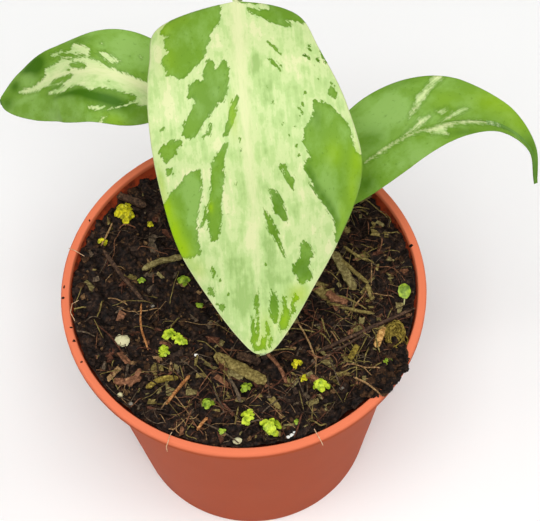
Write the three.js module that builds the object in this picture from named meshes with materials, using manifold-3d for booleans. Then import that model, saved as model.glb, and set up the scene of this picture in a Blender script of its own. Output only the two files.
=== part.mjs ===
import * as THREE from "three";
import { mergeVertices } from "three/addons/utils/BufferGeometryUtils.js";
import Module from "manifold-3d";

// A young variegated climbing aroid with three leaves, in a round plastic nursery pot.
// Millimetres, +Z up, origin at the centre of the pot's base. -Y is the front.

const GAP = 0.3; // clearance between pieces that touch

// Pot: a 9 cm moulded nursery pot with a stepped lip and a ring of drain holes
const POT_HEIGHT = 80;
const RIM_RADIUS = 45;
const LIP_WIDTH = 2.1;
const LIP_HEIGHT = 2.6;
const BODY_TOP_RADIUS = 40.9;
const BASE_RADIUS = 32.8;
const WALL = 1;
const SHOULDER_DROP = 6.5; // from the rim down to where the flare under the lip ends
const FLOOR = 2;
const RECESS_DEPTH = 0.9;
const RECESS_INNER = 9;
const RECESS_OUTER = 28.5;
const DRAIN_HOLES = 8;
const DRAIN_RADIUS = 3;
const DRAIN_CIRCLE = 21;
const POT_SIDES = 48;

// Potting mix: where its surface meets the wall, every 45 degrees from +X, and in the middle
const MIX_EDGE = [79, 77.4, 74.6, 77.6, 79.3, 79.2, 79.6, 80.2];
const MIX_CENTRE = 76;
const MIX_RADIUS = RIM_RADIUS - LIP_WIDTH - GAP - 0.2;
const MIX_RINGS = 10;
const MIX_SIDES = 48;
const STEM_HOLE_FLOOR = 55;

// Stem: a short upright stem that stands in a plain hole in the mix
const STEM_PATH = [[4, 4, 56], [4.4, 5, 74], [5, 7, 90]];
const STEM_RADII = [2.6, 3.1, 2.5];

// Blades. Lists run from the stalk to the tip in equal steps. Left and right are as seen
// from above, looking from the stalk to the tip. fold lifts each half above the midrib and
// curl turns its edge down again, in degrees.
const BLADE_THICKNESS = 0.7;
const BLADE_ROWS = 20;
const BLADE_COLUMNS = 4; // on each side of the midrib
const LEAVES = {
  front: {
    midrib: [
      [1.8, 31.4, 149.7], [2.4, 14.5, 147.8], [3.2, 0.6, 140],
      [3.9, -9.5, 127.3], [3.9, -18.4, 113.7], [4.3, -29.1, 101],
    ],
    left: [1.6, 12.8, 17.1, 21.8, 23.9, 18.1, 10.7, 4.7, 0.5],
    right: [1.6, 17.2, 19.6, 20.6, 19.9, 17, 10.5, 4.5, 0.5],
    sky: [0, -0.5, 0.87],
    fold: [6, 10, 10, 8, 6],
    curl: 28,
    wave: 0.9,
    waves: 2.5,
    stalk: [[5.1, 7.1, 90.4], [5.2, 11.4, 108], [3.8, 20, 127], [2.2, 27.9, 142.8], [1.8, 29.9, 148.4]],
    stalkRadii: [1.9, 1.5, 1.3, 1.2, 1.1],
  },
  left: {
    midrib: [
      [-14.4, 32.8, 113], [-23, 33.2, 120.5], [-32.8, 35.8, 122],
      [-42, 39, 116], [-50, 41, 108.3], [-57.9, 43, 101],
    ],
    left: [1.4, 6, 10, 11.7, 12, 9.9, 6.5, 3.3, 0.5],
    right: [1.4, 7.6, 10.6, 10.8, 7.9, 6.5, 4.5, 2, 0.5],
    sky: [0, -0.45, 0.9],
    fold: [8, 8, 8, 8],
    curl: 24,
    wave: 0.3,
    waves: 2,
    stalk: [[1.2, 8.6, 81], [-2.4, 15, 92], [-8, 24, 103], [-12.4, 30.6, 110.6], [-14.1, 32.7, 112.7]],
    stalkRadii: [1.5, 1.3, 1.1, 1, 0.95],
  },
  right: {
    midrib: [
      [20.7, 4.8, 109], [27.5, 9.4, 115.5], [35, 13, 120], [43, 15.7, 121.5],
      [52.2, 18.7, 119.5], [62.2, 21.3, 113], [69.9, 20.3, 104], [72.1, 17.4, 94],
    ],
    left: [1.4, 6.4, 10.1, 12.2, 11.3, 5.6, 1.7, 0.8, 0.5],
    right: [1.4, 4.4, 6.9, 7.4, 4.8, 2, 0.6, 0.5, 0.5],
    sky: [0, -0.3, 0.95],
    fold: [10, 14, 20, 32, 38],
    curl: 20,
    wave: 0.3,
    waves: 2,
    stalk: [[9.3, 5.1, 79], [12, 4.2, 89], [15.8, 4, 99], [19, 4.3, 106], [20.4, 4.7, 108.7]],
    stalkRadii: [1.5, 1.3, 1.1, 1, 0.95],
  },
};

// Sticks, bark and roots that lie on the mix: path over the surface [x, y], half width, half height
const LITTER = [
  { path: [[-7.5, -17.6], [-1.5, -21.2], [4.6, -25.3]], wide: 1.4, high: 0.8 },
  { path: [[23.9, 9.2], [25.4, 4.2], [26.8, -0.6]], wide: 1.1, high: 0.7 },
  { path: [[-25.6, 9.2], [-20.4, 11.4], [-15.4, 12]], wide: 0.8, high: 0.7 },
  { path: [[17.7, -17.2], [28.9, -12.8], [40.4, -7.4]], wide: 0.7, high: 0.7 },
  { path: [[-35.3, 14.7], [-26.5, 2.2], [-25.1, -13.1]], wide: 0.6, high: 0.6 },
  { path: [[-32, -24.2], [-28.6, -23.6], [-25.2, -22.8]], wide: 0.9, high: 0.6 },
  { path: [[-24.8, -23.8], [-20, -22.4], [-15.4, -22]], wide: 0.8, high: 0.6 },
  { path: [[-18.8, -29.4], [-15.8, -25.6], [-13, -21.6]], wide: 0.7, high: 0.6 },
  { path: [[32.6, -15.6], [33.2, -13.4], [33.8, -11.2]], wide: 0.9, high: 0.6 },
];
const LUMPS = 34;
const CHIPS = 24;
const FIBRES = 12;
const HEAP = [-29, -32, -35, -38, -40, -43, -46, -49]; // crumbs spilled over the lip, degrees from +X

const wasm = await Module();
wasm.setup();

// A smooth curve through equally spaced values, numbers or points, at t from 0 to 1.
function along(values, t) {
  const last = values.length - 1;
  const place = Math.min(Math.max(t, 0), 1) * last;
  const i = Math.min(Math.floor(place), last - 1);
  const f = place - i;
  const mix = (p0, p1, p2, p3) =>
    0.5 * (2 * p1 + (p2 - p0) * f + (2 * p0 - 5 * p1 + 4 * p2 - p3) * f ** 2
      + (3 * p1 - p0 - 3 * p2 + p3) * f ** 3);
  const blend = (get) => {
    const p1 = get(values[i]);
    const p2 = get(values[i + 1]);
    const p0 = i > 0 ? get(values[i - 1]) : 2 * p1 - p2;
    const p3 = i + 2 <= last ? get(values[i + 2]) : 2 * p2 - p1;
    return mix(p0, p1, p2, p3);
  };
  if (typeof values[0] === "number") return blend((v) => v);
  return new THREE.Vector3(blend((v) => v[0]), blend((v) => v[1]), blend((v) => v[2]));
}

function direction(points, t) {
  const step = 0.01;
  return along(points, t + step > 1 ? 1 : t + step)
    .sub(along(points, t - step < 0 ? 0 : t - step))
    .normalize();
}

function geometryOf(positions, triangles) {
  const geometry = new THREE.BufferGeometry();
  geometry.setAttribute("position", new THREE.Float32BufferAttribute(positions, 3));
  geometry.setIndex(triangles);
  return geometry;
}

function solidOf(geometry) {
  const plain = geometry.clone();
  plain.deleteAttribute("normal");
  plain.deleteAttribute("uv");
  const merged = mergeVertices(plain, 1e-3);
  return new wasm.Manifold(new wasm.Mesh({
    numProp: 3,
    vertProperties: merged.attributes.position.array,
    triVerts: new Uint32Array(merged.index.array),
  }));
}

function geometryFrom(solid) {
  const { vertProperties, triVerts } = solid.getMesh();
  return geometryOf(Array.from(vertProperties), Array.from(triVerts));
}

// A closed tube with flat ends along a smooth curve, its radius changing along it.
function tube(points, radii, steps, sides) {
  const positions = [];
  const triangles = [];
  for (let i = 0; i <= steps; i += 1) {
    const centre = along(points, i / steps);
    const forward = direction(points, i / steps);
    const reference = Math.abs(forward.z) < 0.9 ? new THREE.Vector3(0, 0, 1) : new THREE.Vector3(1, 0, 0);
    const across = new THREE.Vector3().crossVectors(reference, forward).normalize();
    const up = new THREE.Vector3().crossVectors(forward, across);
    const radius = along(radii, i / steps);
    for (let j = 0; j < sides; j += 1) {
      const angle = (2 * Math.PI * j) / sides;
      const point = centre.clone()
        .addScaledVector(across, radius * Math.cos(angle))
        .addScaledVector(up, radius * Math.sin(angle));
      positions.push(point.x, point.y, point.z);
    }
  }
  for (let i = 0; i < steps; i += 1) {
    for (let j = 0; j < sides; j += 1) {
      const a = i * sides + j;
      const b = i * sides + ((j + 1) % sides);
      triangles.push(a, b, a + sides, b, b + sides, a + sides);
    }
  }
  for (let j = 1; j < sides - 1; j += 1) {
    triangles.push(0, j + 1, j);
    triangles.push(steps * sides, steps * sides + j, steps * sides + j + 1);
  }
  return geometryOf(positions, triangles);
}

// The pot's inner surface, from the floor's edge up to the lip, as [radius, height].
function potInside() {
  const flareFloor = POT_HEIGHT - SHOULDER_DROP;
  return [
    [BASE_RADIUS - WALL - 0.6, FLOOR],
    [BODY_TOP_RADIUS - WALL - 0.1, flareFloor],
    [BODY_TOP_RADIUS - WALL + 0.6, flareFloor + 1.8],
    [RIM_RADIUS - LIP_WIDTH - 0.9, POT_HEIGHT - 2.8],
    [RIM_RADIUS - LIP_WIDTH - 0.2, POT_HEIGHT - 1.2],
    [RIM_RADIUS - LIP_WIDTH, POT_HEIGHT - 0.2],
  ];
}

function pot() {
  const flareFloor = POT_HEIGHT - SHOULDER_DROP;
  const outline = [
    [0, 0],
    [RECESS_INNER, 0],
    [RECESS_INNER, RECESS_DEPTH],
    [RECESS_OUTER, RECESS_DEPTH],
    [RECESS_OUTER, 0],
    [BASE_RADIUS - 0.7, 0],
    [BASE_RADIUS - 0.15, 0.35],
    [BASE_RADIUS + 0.05, 1],
    [BODY_TOP_RADIUS, flareFloor],
    [BODY_TOP_RADIUS + 0.7, flareFloor + 2],
    [RIM_RADIUS - 1.6, POT_HEIGHT - LIP_HEIGHT - 0.6],
    [RIM_RADIUS - 0.3, POT_HEIGHT - LIP_HEIGHT - 0.1],
    [RIM_RADIUS, POT_HEIGHT - LIP_HEIGHT + 0.3],
    [RIM_RADIUS, POT_HEIGHT - 0.6],
    [RIM_RADIUS - 0.4, POT_HEIGHT],
    [RIM_RADIUS - LIP_WIDTH + 0.2, POT_HEIGHT],
    ...potInside().reverse(),
    [0, FLOOR],
  ];
  const shell = new THREE.LatheGeometry(outline.map(([r, z]) => new THREE.Vector2(r, z)), POT_SIDES);
  shell.rotateX(Math.PI / 2);
  let solid = solidOf(shell);
  for (let i = 0; i < DRAIN_HOLES; i += 1) {
    const angle = (2 * Math.PI * i) / DRAIN_HOLES;
    const drill = new THREE.CylinderGeometry(DRAIN_RADIUS, DRAIN_RADIUS, 4 * FLOOR, 16);
    drill.rotateX(Math.PI / 2);
    drill.translate(DRAIN_CIRCLE * Math.cos(angle), DRAIN_CIRCLE * Math.sin(angle), 0);
    solid = solid.subtract(solidOf(drill));
  }
  return geometryFrom(solid);
}

// Everything outside the pot's hollow, grown by the gap, which the mix is kept out of.
function outsideOfHollow() {
  const inside = potInside().map(([r, z]) => [r - GAP, z + GAP]);
  const far = RIM_RADIUS + 8;
  const outline = [
    [0, -1],
    [0, FLOOR + GAP],
    ...inside,
    [RIM_RADIUS - LIP_WIDTH - GAP, POT_HEIGHT + GAP],
    [far, POT_HEIGHT + GAP],
    [far, -1],
    [0, -1],
  ].reverse();
  const block = new THREE.LatheGeometry(outline.map(([r, z]) => new THREE.Vector2(r, z)), POT_SIDES);
  block.rotateX(Math.PI / 2);
  return solidOf(block);
}

// The height of the mix's surface: a tilted dish with coarse crumbs.
function mixTop(x, y) {
  const radius = Math.hypot(x, y);
  const turn = (Math.atan2(y, x) / (2 * Math.PI) + 1) % 1;
  const ring = [...MIX_EDGE, ...MIX_EDGE, ...MIX_EDGE, MIX_EDGE[0]];
  const edge = along(ring, (turn + 1) / 3);
  const dish = MIX_CENTRE + (edge - MIX_CENTRE) * Math.min(radius / MIX_RADIUS, 1) ** 1.5;
  const crumbs = 0.5 * Math.sin(0.62 * x + 1.1 * Math.sin(0.35 * y))
    + 0.45 * Math.sin(0.55 * y - 0.8 * Math.sin(0.41 * x) + 1)
    + 0.35 * Math.sin(1.15 * x + 0.9 * y);
  return dish + crumbs;
}

function mixBody() {
  const positions = [0, 0, 1];
  const triangles = [];
  for (let ring = 0; ring <= MIX_RINGS; ring += 1) {
    const radius = (MIX_RADIUS * ring) / MIX_RINGS;
    for (let j = 0; j < MIX_SIDES; j += 1) {
      const angle = (2 * Math.PI * j) / MIX_SIDES;
      const x = radius * Math.cos(angle);
      const y = radius * Math.sin(angle);
      positions.push(x, y, mixTop(x, y));
    }
  }
  for (let j = 0; j < MIX_SIDES; j += 1) {
    const angle = (2 * Math.PI * j) / MIX_SIDES;
    positions.push(MIX_RADIUS * Math.cos(angle), MIX_RADIUS * Math.sin(angle), 1);
  }
  for (let ring = 0; ring <= MIX_RINGS; ring += 1) {
    for (let j = 0; j < MIX_SIDES; j += 1) {
      const next = (j + 1) % MIX_SIDES;
      const a = 1 + ring * MIX_SIDES + j;
      const b = 1 + ring * MIX_SIDES + next;
      if (ring > 0) triangles.push(a, a + MIX_SIDES, b);
      triangles.push(b, a + MIX_SIDES, b + MIX_SIDES);
    }
  }
  const foot = 1 + (MIX_RINGS + 1) * MIX_SIDES;
  for (let j = 0; j < MIX_SIDES; j += 1) {
    triangles.push(0, foot + ((j + 1) % MIX_SIDES), foot + j);
  }
  return geometryOf(positions, triangles);
}

// Seeded random numbers, so that the litter lies the same way each time.
function seeded(seed) {
  let state = seed;
  return () => {
    state = (state + 0x6d2b79f5) | 0;
    let t = Math.imul(state ^ (state >>> 15), 1 | state);
    t = (t + Math.imul(t ^ (t >>> 7), 61 | t)) ^ t;
    return ((t ^ (t >>> 14)) >>> 0) / 4294967296;
  };
}

// A piece set on the mix at x, y, turned at random and sunk into it.
function scatter(geometry, x, y, sink, random) {
  geometry.rotateX((random() - 0.5) * 0.9);
  geometry.rotateY((random() - 0.5) * 0.9);
  geometry.rotateZ(random() * 2 * Math.PI);
  geometry.translate(x, y, mixTop(x, y) - sink);
  return solidOf(geometry);
}

// A place on the mix, clear of the stem and of the wall.
function placeOnMix(random) {
  for (;;) {
    const radius = 3 + (MIX_RADIUS - 6) * Math.sqrt(random());
    const angle = 2 * Math.PI * random();
    const x = radius * Math.cos(angle);
    const y = radius * Math.sin(angle);
    if (Math.hypot(x - STEM_PATH[1][0], y - STEM_PATH[1][1]) > 8) return [x, y];
  }
}

function litterPiece({ path, wide, high }) {
  const points = path.map(([x, y]) => [x, y, mixTop(x, y) + high * 0.35]);
  const middle = points[1];
  middle[2] = Math.max(middle[2], (points[0][2] + points[2][2]) / 2);
  const stick = tube(points, [wide * 0.75, wide, wide * 0.7], 5, 6);
  return solidOf(stick);
}

function pottingMix() {
  const random = seeded(11);
  const pieces = [solidOf(mixBody())];
  for (const litter of LITTER) pieces.push(litterPiece(litter));
  for (let i = 0; i < LUMPS; i += 1) {
    const [x, y] = placeOnMix(random);
    const size = 1.3 + 1.3 * random();
    const lump = new THREE.IcosahedronGeometry(size, 0);
    lump.scale(1, 0.7 + 0.3 * random(), 0.75);
    pieces.push(scatter(lump, x, y, 0.25 * size, random));
  }
  for (let i = 0; i < CHIPS; i += 1) {
    const [x, y] = placeOnMix(random);
    const chip = new THREE.BoxGeometry(2.5 + 3 * random(), 1.4 + 1.2 * random(), 1);
    pieces.push(scatter(chip, x, y, 0.1, random));
  }
  for (let i = 0; i < FIBRES; i += 1) {
    const [x, y] = placeOnMix(random);
    const angle = Math.PI * random();
    const reach = 3 + 3 * random();
    const dx = reach * Math.cos(angle);
    const dy = reach * Math.sin(angle);
    const points = [-1, 0, 1].map((s) => {
      const px = x + s * dx;
      const py = y + s * dy;
      return [px, py, mixTop(px, py) + (s === 0 ? 1.1 : -0.8)];
    });
    pieces.push(solidOf(tube(points, [0.4, 0.5, 0.4], 4, 4)));
  }
  for (const degrees of HEAP) {
    const angle = THREE.MathUtils.degToRad(degrees);
    const size = 1.6 + 1.3 * random();
    const crumb = new THREE.IcosahedronGeometry(size, 0);
    crumb.rotateZ(random() * 2 * Math.PI);
    const reach = MIX_RADIUS + 0.5 * (size - 1.2);
    crumb.translate(reach * Math.cos(angle), reach * Math.sin(angle), POT_HEIGHT + GAP + 0.35 * size);
    pieces.push(solidOf(crumb));
  }
  const hole = tube(
    STEM_PATH.map(([x, y, z], i) => [x, y, i === 0 ? STEM_HOLE_FLOOR : z]),
    STEM_RADII.map((r) => r + GAP), 6, 16);
  return geometryFrom(
    wasm.Manifold.union(pieces).subtract(outsideOfHollow()).subtract(solidOf(hole)));
}

// A point of a blade's middle surface and the surface's normal there. u runs from the stalk
// to the tip, v from -1 at the left edge to 1 at the right edge.
function bladePoint(leaf, u, v) {
  const t = (1 - Math.cos(Math.PI * u)) / 2;
  const forward = direction(leaf.midrib, t);
  const across = new THREE.Vector3().crossVectors(forward, new THREE.Vector3(...leaf.sky)).normalize();
  const up = new THREE.Vector3().crossVectors(across, forward);
  const side = Math.sign(v);
  const reach = Math.abs(v);
  const width = along(side < 0 ? leaf.left : leaf.right, u);
  const steps = 12;
  const slopeAt = (part) => THREE.MathUtils.degToRad(along(leaf.fold, t) - leaf.curl * part * reach);
  let out = 0;
  let lift = 0;
  for (let k = 0; k < steps; k += 1) {
    out += (Math.cos(slopeAt((k + 0.5) / steps)) * reach) / steps;
    lift += (Math.sin(slopeAt((k + 0.5) / steps)) * reach) / steps;
  }
  const phase = side < 0 ? 0.1 : 0.55;
  const ripple = leaf.wave * reach ** 2 * Math.sin(2 * Math.PI * (leaf.waves * t + phase)) * Math.sin(Math.PI * u);
  const slope = side === 0 ? 0 : slopeAt(1);
  return {
    point: along(leaf.midrib, t)
      .addScaledVector(across, side * out * width)
      .addScaledVector(up, lift * width + ripple),
    normal: up.clone().multiplyScalar(Math.cos(slope)).addScaledVector(across, -side * Math.sin(slope)),
  };
}

// A blade with its two faces split into triangles alike.
function blade(leaf) {
  const columns = 2 * BLADE_COLUMNS;
  const faceSize = (BLADE_ROWS + 1) * (columns + 1);
  const upper = [];
  const lower = [];
  for (let i = 0; i <= BLADE_ROWS; i += 1) {
    for (let j = 0; j <= columns; j += 1) {
      const { point, normal } = bladePoint(leaf, i / BLADE_ROWS, (j - BLADE_COLUMNS) / BLADE_COLUMNS);
      const top = point.clone().addScaledVector(normal, BLADE_THICKNESS / 2);
      const bottom = point.clone().addScaledVector(normal, -BLADE_THICKNESS / 2);
      upper.push(top.x, top.y, top.z);
      lower.push(bottom.x, bottom.y, bottom.z);
    }
  }
  const at = (i, j) => i * (columns + 1) + j;
  const triangles = [];
  for (let i = 0; i < BLADE_ROWS; i += 1) {
    for (let j = 0; j < columns; j += 1) {
      const corners = [at(i, j), at(i, j + 1), at(i + 1, j), at(i + 1, j + 1)];
      const [a, b, c, d] = corners;
      const halves = j < BLADE_COLUMNS ? [[a, c, b], [b, c, d]] : [[a, c, d], [a, d, b]];
      for (const [p, q, r] of halves) {
        triangles.push(p, r, q);
        triangles.push(p + faceSize, q + faceSize, r + faceSize);
      }
    }
  }
  const rim = [];
  for (let j = 0; j < columns; j += 1) rim.push(at(0, j));
  for (let i = 0; i < BLADE_ROWS; i += 1) rim.push(at(i, columns));
  for (let j = columns; j > 0; j -= 1) rim.push(at(BLADE_ROWS, j));
  for (let i = BLADE_ROWS; i > 0; i -= 1) rim.push(at(i, 0));
  rim.forEach((a, k) => {
    const b = rim[(k + 1) % rim.length];
    triangles.push(a, a + faceSize, b, b, a + faceSize, b + faceSize);
  });
  return geometryOf([...upper, ...lower], triangles);
}

const terracotta = new THREE.MeshStandardMaterial({ color: 0xc8683f, roughness: 0.45, metalness: 0 });
const peat = new THREE.MeshStandardMaterial({ color: 0x33281c, roughness: 0.95, metalness: 0 });
const stalkGreen = new THREE.MeshStandardMaterial({ color: 0x7aa63c, roughness: 0.5, metalness: 0 });
const leafGreen = new THREE.MeshStandardMaterial({ color: 0x8fbf4e, roughness: 0.4, metalness: 0 });

function meshOf(name, geometry, material) {
  const mesh = new THREE.Mesh(geometry, material);
  mesh.name = name;
  return mesh;
}

const plant = new THREE.Group();
plant.add(meshOf("stem", tube(STEM_PATH, STEM_RADII, 8, 16), stalkGreen));
for (const [side, leaf] of Object.entries(LEAVES)) {
  plant.add(meshOf(`leaf_stalk_${side}`, tube(leaf.stalk, leaf.stalkRadii, 14, 10), stalkGreen));
  plant.add(meshOf(`leaf_blade_${side}`, blade(leaf), leafGreen));
}

const pottedPlant = new THREE.Group();
pottedPlant.add(meshOf("pot", pot(), terracotta));
pottedPlant.add(meshOf("potting_mix", pottingMix(), peat));
pottedPlant.add(plant);

export default pottedPlant;
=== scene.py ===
import math
import random

import bmesh
import bpy
import numpy
from mathutils import Matrix, Vector, noise


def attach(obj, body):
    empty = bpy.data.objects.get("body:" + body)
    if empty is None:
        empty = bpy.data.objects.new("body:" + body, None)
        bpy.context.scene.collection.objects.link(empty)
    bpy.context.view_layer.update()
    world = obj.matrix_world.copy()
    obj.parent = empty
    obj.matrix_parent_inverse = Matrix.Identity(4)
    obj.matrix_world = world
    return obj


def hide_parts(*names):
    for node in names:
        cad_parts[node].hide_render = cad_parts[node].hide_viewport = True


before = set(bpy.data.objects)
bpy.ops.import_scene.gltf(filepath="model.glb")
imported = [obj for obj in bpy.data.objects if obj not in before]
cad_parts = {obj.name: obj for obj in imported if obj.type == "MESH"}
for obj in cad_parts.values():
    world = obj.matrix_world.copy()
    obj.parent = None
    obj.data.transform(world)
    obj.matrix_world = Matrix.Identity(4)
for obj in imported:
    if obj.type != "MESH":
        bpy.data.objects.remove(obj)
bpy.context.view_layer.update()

# The studio: a pale matt table under one large soft light from above and two weak ones
# from the sides. The camera looks down at the pot from the front, as in the photograph.
MM = 0.001
FLOOR_WIDTH = 4000
CAMERA_PLACE = Vector((6.8, -175.7, 404.5))
CAMERA_PITCH = math.radians(60.68)
CAMERA_ROLL = math.radians(-2.44)
CAMERA_LENS = 100
LIGHTS_AIM = Vector((0, 0, 90))
SKY_STRENGTH = 0.12


def colour(hex_code):
    """An sRGB hex colour as the linear colour that a node takes."""
    parts = [int(hex_code[i:i + 2], 16) / 255 for i in (1, 3, 5)]
    return [*(c / 12.92 if c <= 0.04045 else ((c + 0.055) / 1.055) ** 2.4 for c in parts), 1]


def new_material(name, **finish):
    """A material whose shader has this finish: its sockets' names with _ for a space."""
    material = bpy.data.materials.new(name)
    material.use_nodes = True
    shader = material.node_tree.nodes["Principled BSDF"]
    for socket, value in finish.items():
        shader.inputs[socket.replace("_", " ")].default_value = value
    return material


def put(shape, name, materials, sharp=40):
    """Turns a shape in millimetres into a finished object in metres. Edges that bend by more
    degrees than sharp stay sharp."""
    bmesh.ops.scale(shape, vec=(MM, MM, MM), verts=shape.verts)
    mesh = bpy.data.meshes.new(name)
    shape.to_mesh(mesh)
    shape.free()
    for material in materials:
        mesh.materials.append(material)
    mesh.shade_smooth()
    mesh.set_sharp_from_angle(angle=math.radians(sharp))
    piece = bpy.data.objects.new(name, mesh)
    bpy.context.scene.collection.objects.link(piece)
    return piece


# an even off-white with no gloss, so that only the plant's soft shadow shows on it
table_paint = new_material(
    "matt emulsion paint, rolled", Base_Color=colour("#FBFBFA"), Roughness=0.9, Specular_IOR_Level=0.2)
table_top = bmesh.new()
bmesh.ops.create_grid(table_top, x_segments=1, y_segments=1, size=FLOOR_WIDTH / 2)
table = put(table_top, "table_top", [table_paint])

camera_data = bpy.data.cameras.new("camera")
camera_data.lens = CAMERA_LENS
camera_data.sensor_width = 36
camera_data.sensor_fit = "HORIZONTAL"
camera_data.clip_start = 0.01
camera_data.clip_end = 20
camera = bpy.data.objects.new("camera", camera_data)
bpy.context.scene.collection.objects.link(camera)
looking = Vector((0, math.cos(CAMERA_PITCH), -math.sin(CAMERA_PITCH)))
level_up = Vector((0, math.sin(CAMERA_PITCH), math.cos(CAMERA_PITCH)))
level_right = Vector((1, 0, 0))
camera_right = math.cos(CAMERA_ROLL) * level_right + math.sin(CAMERA_ROLL) * level_up
camera_up = math.cos(CAMERA_ROLL) * level_up - math.sin(CAMERA_ROLL) * level_right
turned = Matrix((camera_right, camera_up, -looking)).transposed().to_4x4()
camera.matrix_world = Matrix.Translation(CAMERA_PLACE * MM) @ turned
bpy.context.scene.camera = camera


def softbox(name, place, width, power):
    """A square soft light at a place in millimetres, turned towards the plant."""
    lamp = bpy.data.lights.new(name, "AREA")
    lamp.shape = "SQUARE"
    lamp.size = width * MM
    lamp.energy = power
    light = bpy.data.objects.new(name, lamp)
    bpy.context.scene.collection.objects.link(light)
    facing = (LIGHTS_AIM - Vector(place)).to_track_quat("-Z", "Y").to_matrix().to_4x4()
    light.matrix_world = Matrix.Translation(Vector(place) * MM) @ facing


softbox("overhead_softbox", (10, -420, 1250), 850, 15)
softbox("left_softbox", (-900, -300, 900), 700, 3)
softbox("right_softbox", (900, -100, 900), 700, 3)
sky = bpy.data.worlds.new("studio")
sky.use_nodes = True
sky.node_tree.nodes["Background"].inputs["Color"].default_value = colour("#FFFFFF")
sky.node_tree.nodes["Background"].inputs["Strength"].default_value = SKY_STRENGTH
bpy.context.scene.world = sky
bpy.context.scene.view_settings.view_transform = "Standard"
bpy.context.scene.view_settings.look = "None"

# The pot: a 9 cm nursery pot of terracotta-coloured polypropylene, injection moulded in one
# shot. Its wall is 1 mm thick and drafted, the rolled lip stiffens the rim, and the foot
# stands on a ring round a recess with eight drain holes.
POT_HEIGHT = 80
RIM_RADIUS = 45
LIP_WIDTH = 2.1
LIP_HEIGHT = 2.6
BODY_TOP_RADIUS = 40.9
BASE_RADIUS = 32.8
WALL = 1
FLARE_FLOOR = POT_HEIGHT - 6.5
POT_FLOOR = 2
RECESS_DEPTH = 0.9
RECESS_INNER = 9
RECESS_OUTER = 28.5
DRAIN_HOLES = 8
DRAIN_RADIUS = 3
DRAIN_CIRCLE = 21
POT_STEPS = 192
SHARP_BEND = math.radians(20)
CORNER_ROUNDING = 0.12

pot_inside = [
    (BASE_RADIUS - WALL - 0.6, POT_FLOOR),
    (BODY_TOP_RADIUS - WALL - 0.1, FLARE_FLOOR),
    (BODY_TOP_RADIUS - WALL + 0.6, FLARE_FLOOR + 1.8),
    (RIM_RADIUS - LIP_WIDTH - 0.9, POT_HEIGHT - 2.8),
    (RIM_RADIUS - LIP_WIDTH - 0.2, POT_HEIGHT - 1.2),
    (RIM_RADIUS - LIP_WIDTH, POT_HEIGHT - 0.2),
]
pot_outline = [
    (0, 0),
    (RECESS_INNER, 0),
    (RECESS_INNER, RECESS_DEPTH),
    (RECESS_OUTER, RECESS_DEPTH),
    (RECESS_OUTER, 0),
    (BASE_RADIUS - 0.7, 0),
    (BASE_RADIUS - 0.15, 0.35),
    (BASE_RADIUS + 0.05, 1),
    (BODY_TOP_RADIUS, FLARE_FLOOR),
    (BODY_TOP_RADIUS + 0.7, FLARE_FLOOR + 2),
    (RIM_RADIUS - 1.6, POT_HEIGHT - LIP_HEIGHT - 0.6),
    (RIM_RADIUS - 0.3, POT_HEIGHT - LIP_HEIGHT - 0.1),
    (RIM_RADIUS, POT_HEIGHT - LIP_HEIGHT + 0.3),
    (RIM_RADIUS, POT_HEIGHT - 0.6),
    (RIM_RADIUS - 0.4, POT_HEIGHT),
    (RIM_RADIUS - LIP_WIDTH + 0.2, POT_HEIGHT),
    *reversed(pot_inside),
    (0, POT_FLOOR),
]
pot_shape = bmesh.new()
pot_corners = [pot_shape.verts.new((radius, 0, height)) for radius, height in pot_outline]
pot_sides = [pot_shape.edges.new(pair) for pair in zip(pot_corners, pot_corners[1:])]
bmesh.ops.spin(
    pot_shape, geom=pot_corners + pot_sides, cent=(0, 0, 0), axis=(0, 0, 1),
    angle=2 * math.pi, steps=POT_STEPS, use_merge=True)
bmesh.ops.remove_doubles(pot_shape, verts=pot_shape.verts, dist=0.001)
bmesh.ops.recalc_face_normals(pot_shape, faces=pot_shape.faces)
pot_arrises = [
    edge for edge in pot_shape.edges
    if edge.is_manifold and edge.calc_face_angle() > SHARP_BEND
]
bmesh.ops.bevel(
    pot_shape, geom=pot_arrises, offset=CORNER_ROUNDING, segments=3, profile=0.5,
    affect="EDGES", material=-1)

# the sockets of a colour Mix node: the share of the upper colour, the colours and the result
SHARE, UNDER, OVER, MIXED = 0, 6, 7, 2
# the height band over which the top of the lip is painted lighter, as a highlight
LIP_HIGHLIGHT_FROM = POT_HEIGHT - 1.3
LIP_HIGHLIGHT_TO = POT_HEIGHT - 0.3
CLOUD_SIZE = 18.2
SMEAR_SIZE = 5.26
GRAIN_SIZE = 0.4


def add_node(material, kind, settings=None, links=None):
    """Adds a node with its settings, some of them values of its inputs, and its links."""
    made = material.node_tree.nodes.new("ShaderNode" + kind)
    for name, value in (settings or {}).items():
        if isinstance(name, str) and name in made.bl_rna.properties:
            setattr(made, name, value)
        else:
            made.inputs[name].default_value = value
    for name, source in (links or {}).items():
        material.node_tree.links.new(source, made.inputs[name])
    return made


def dress(material, **sources):
    """Links outputs to the shader's sockets."""
    shader = material.node_tree.nodes["Principled BSDF"]
    for socket, source in sources.items():
        material.node_tree.links.new(source, shader.inputs[socket.replace("_", " ")])


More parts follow.
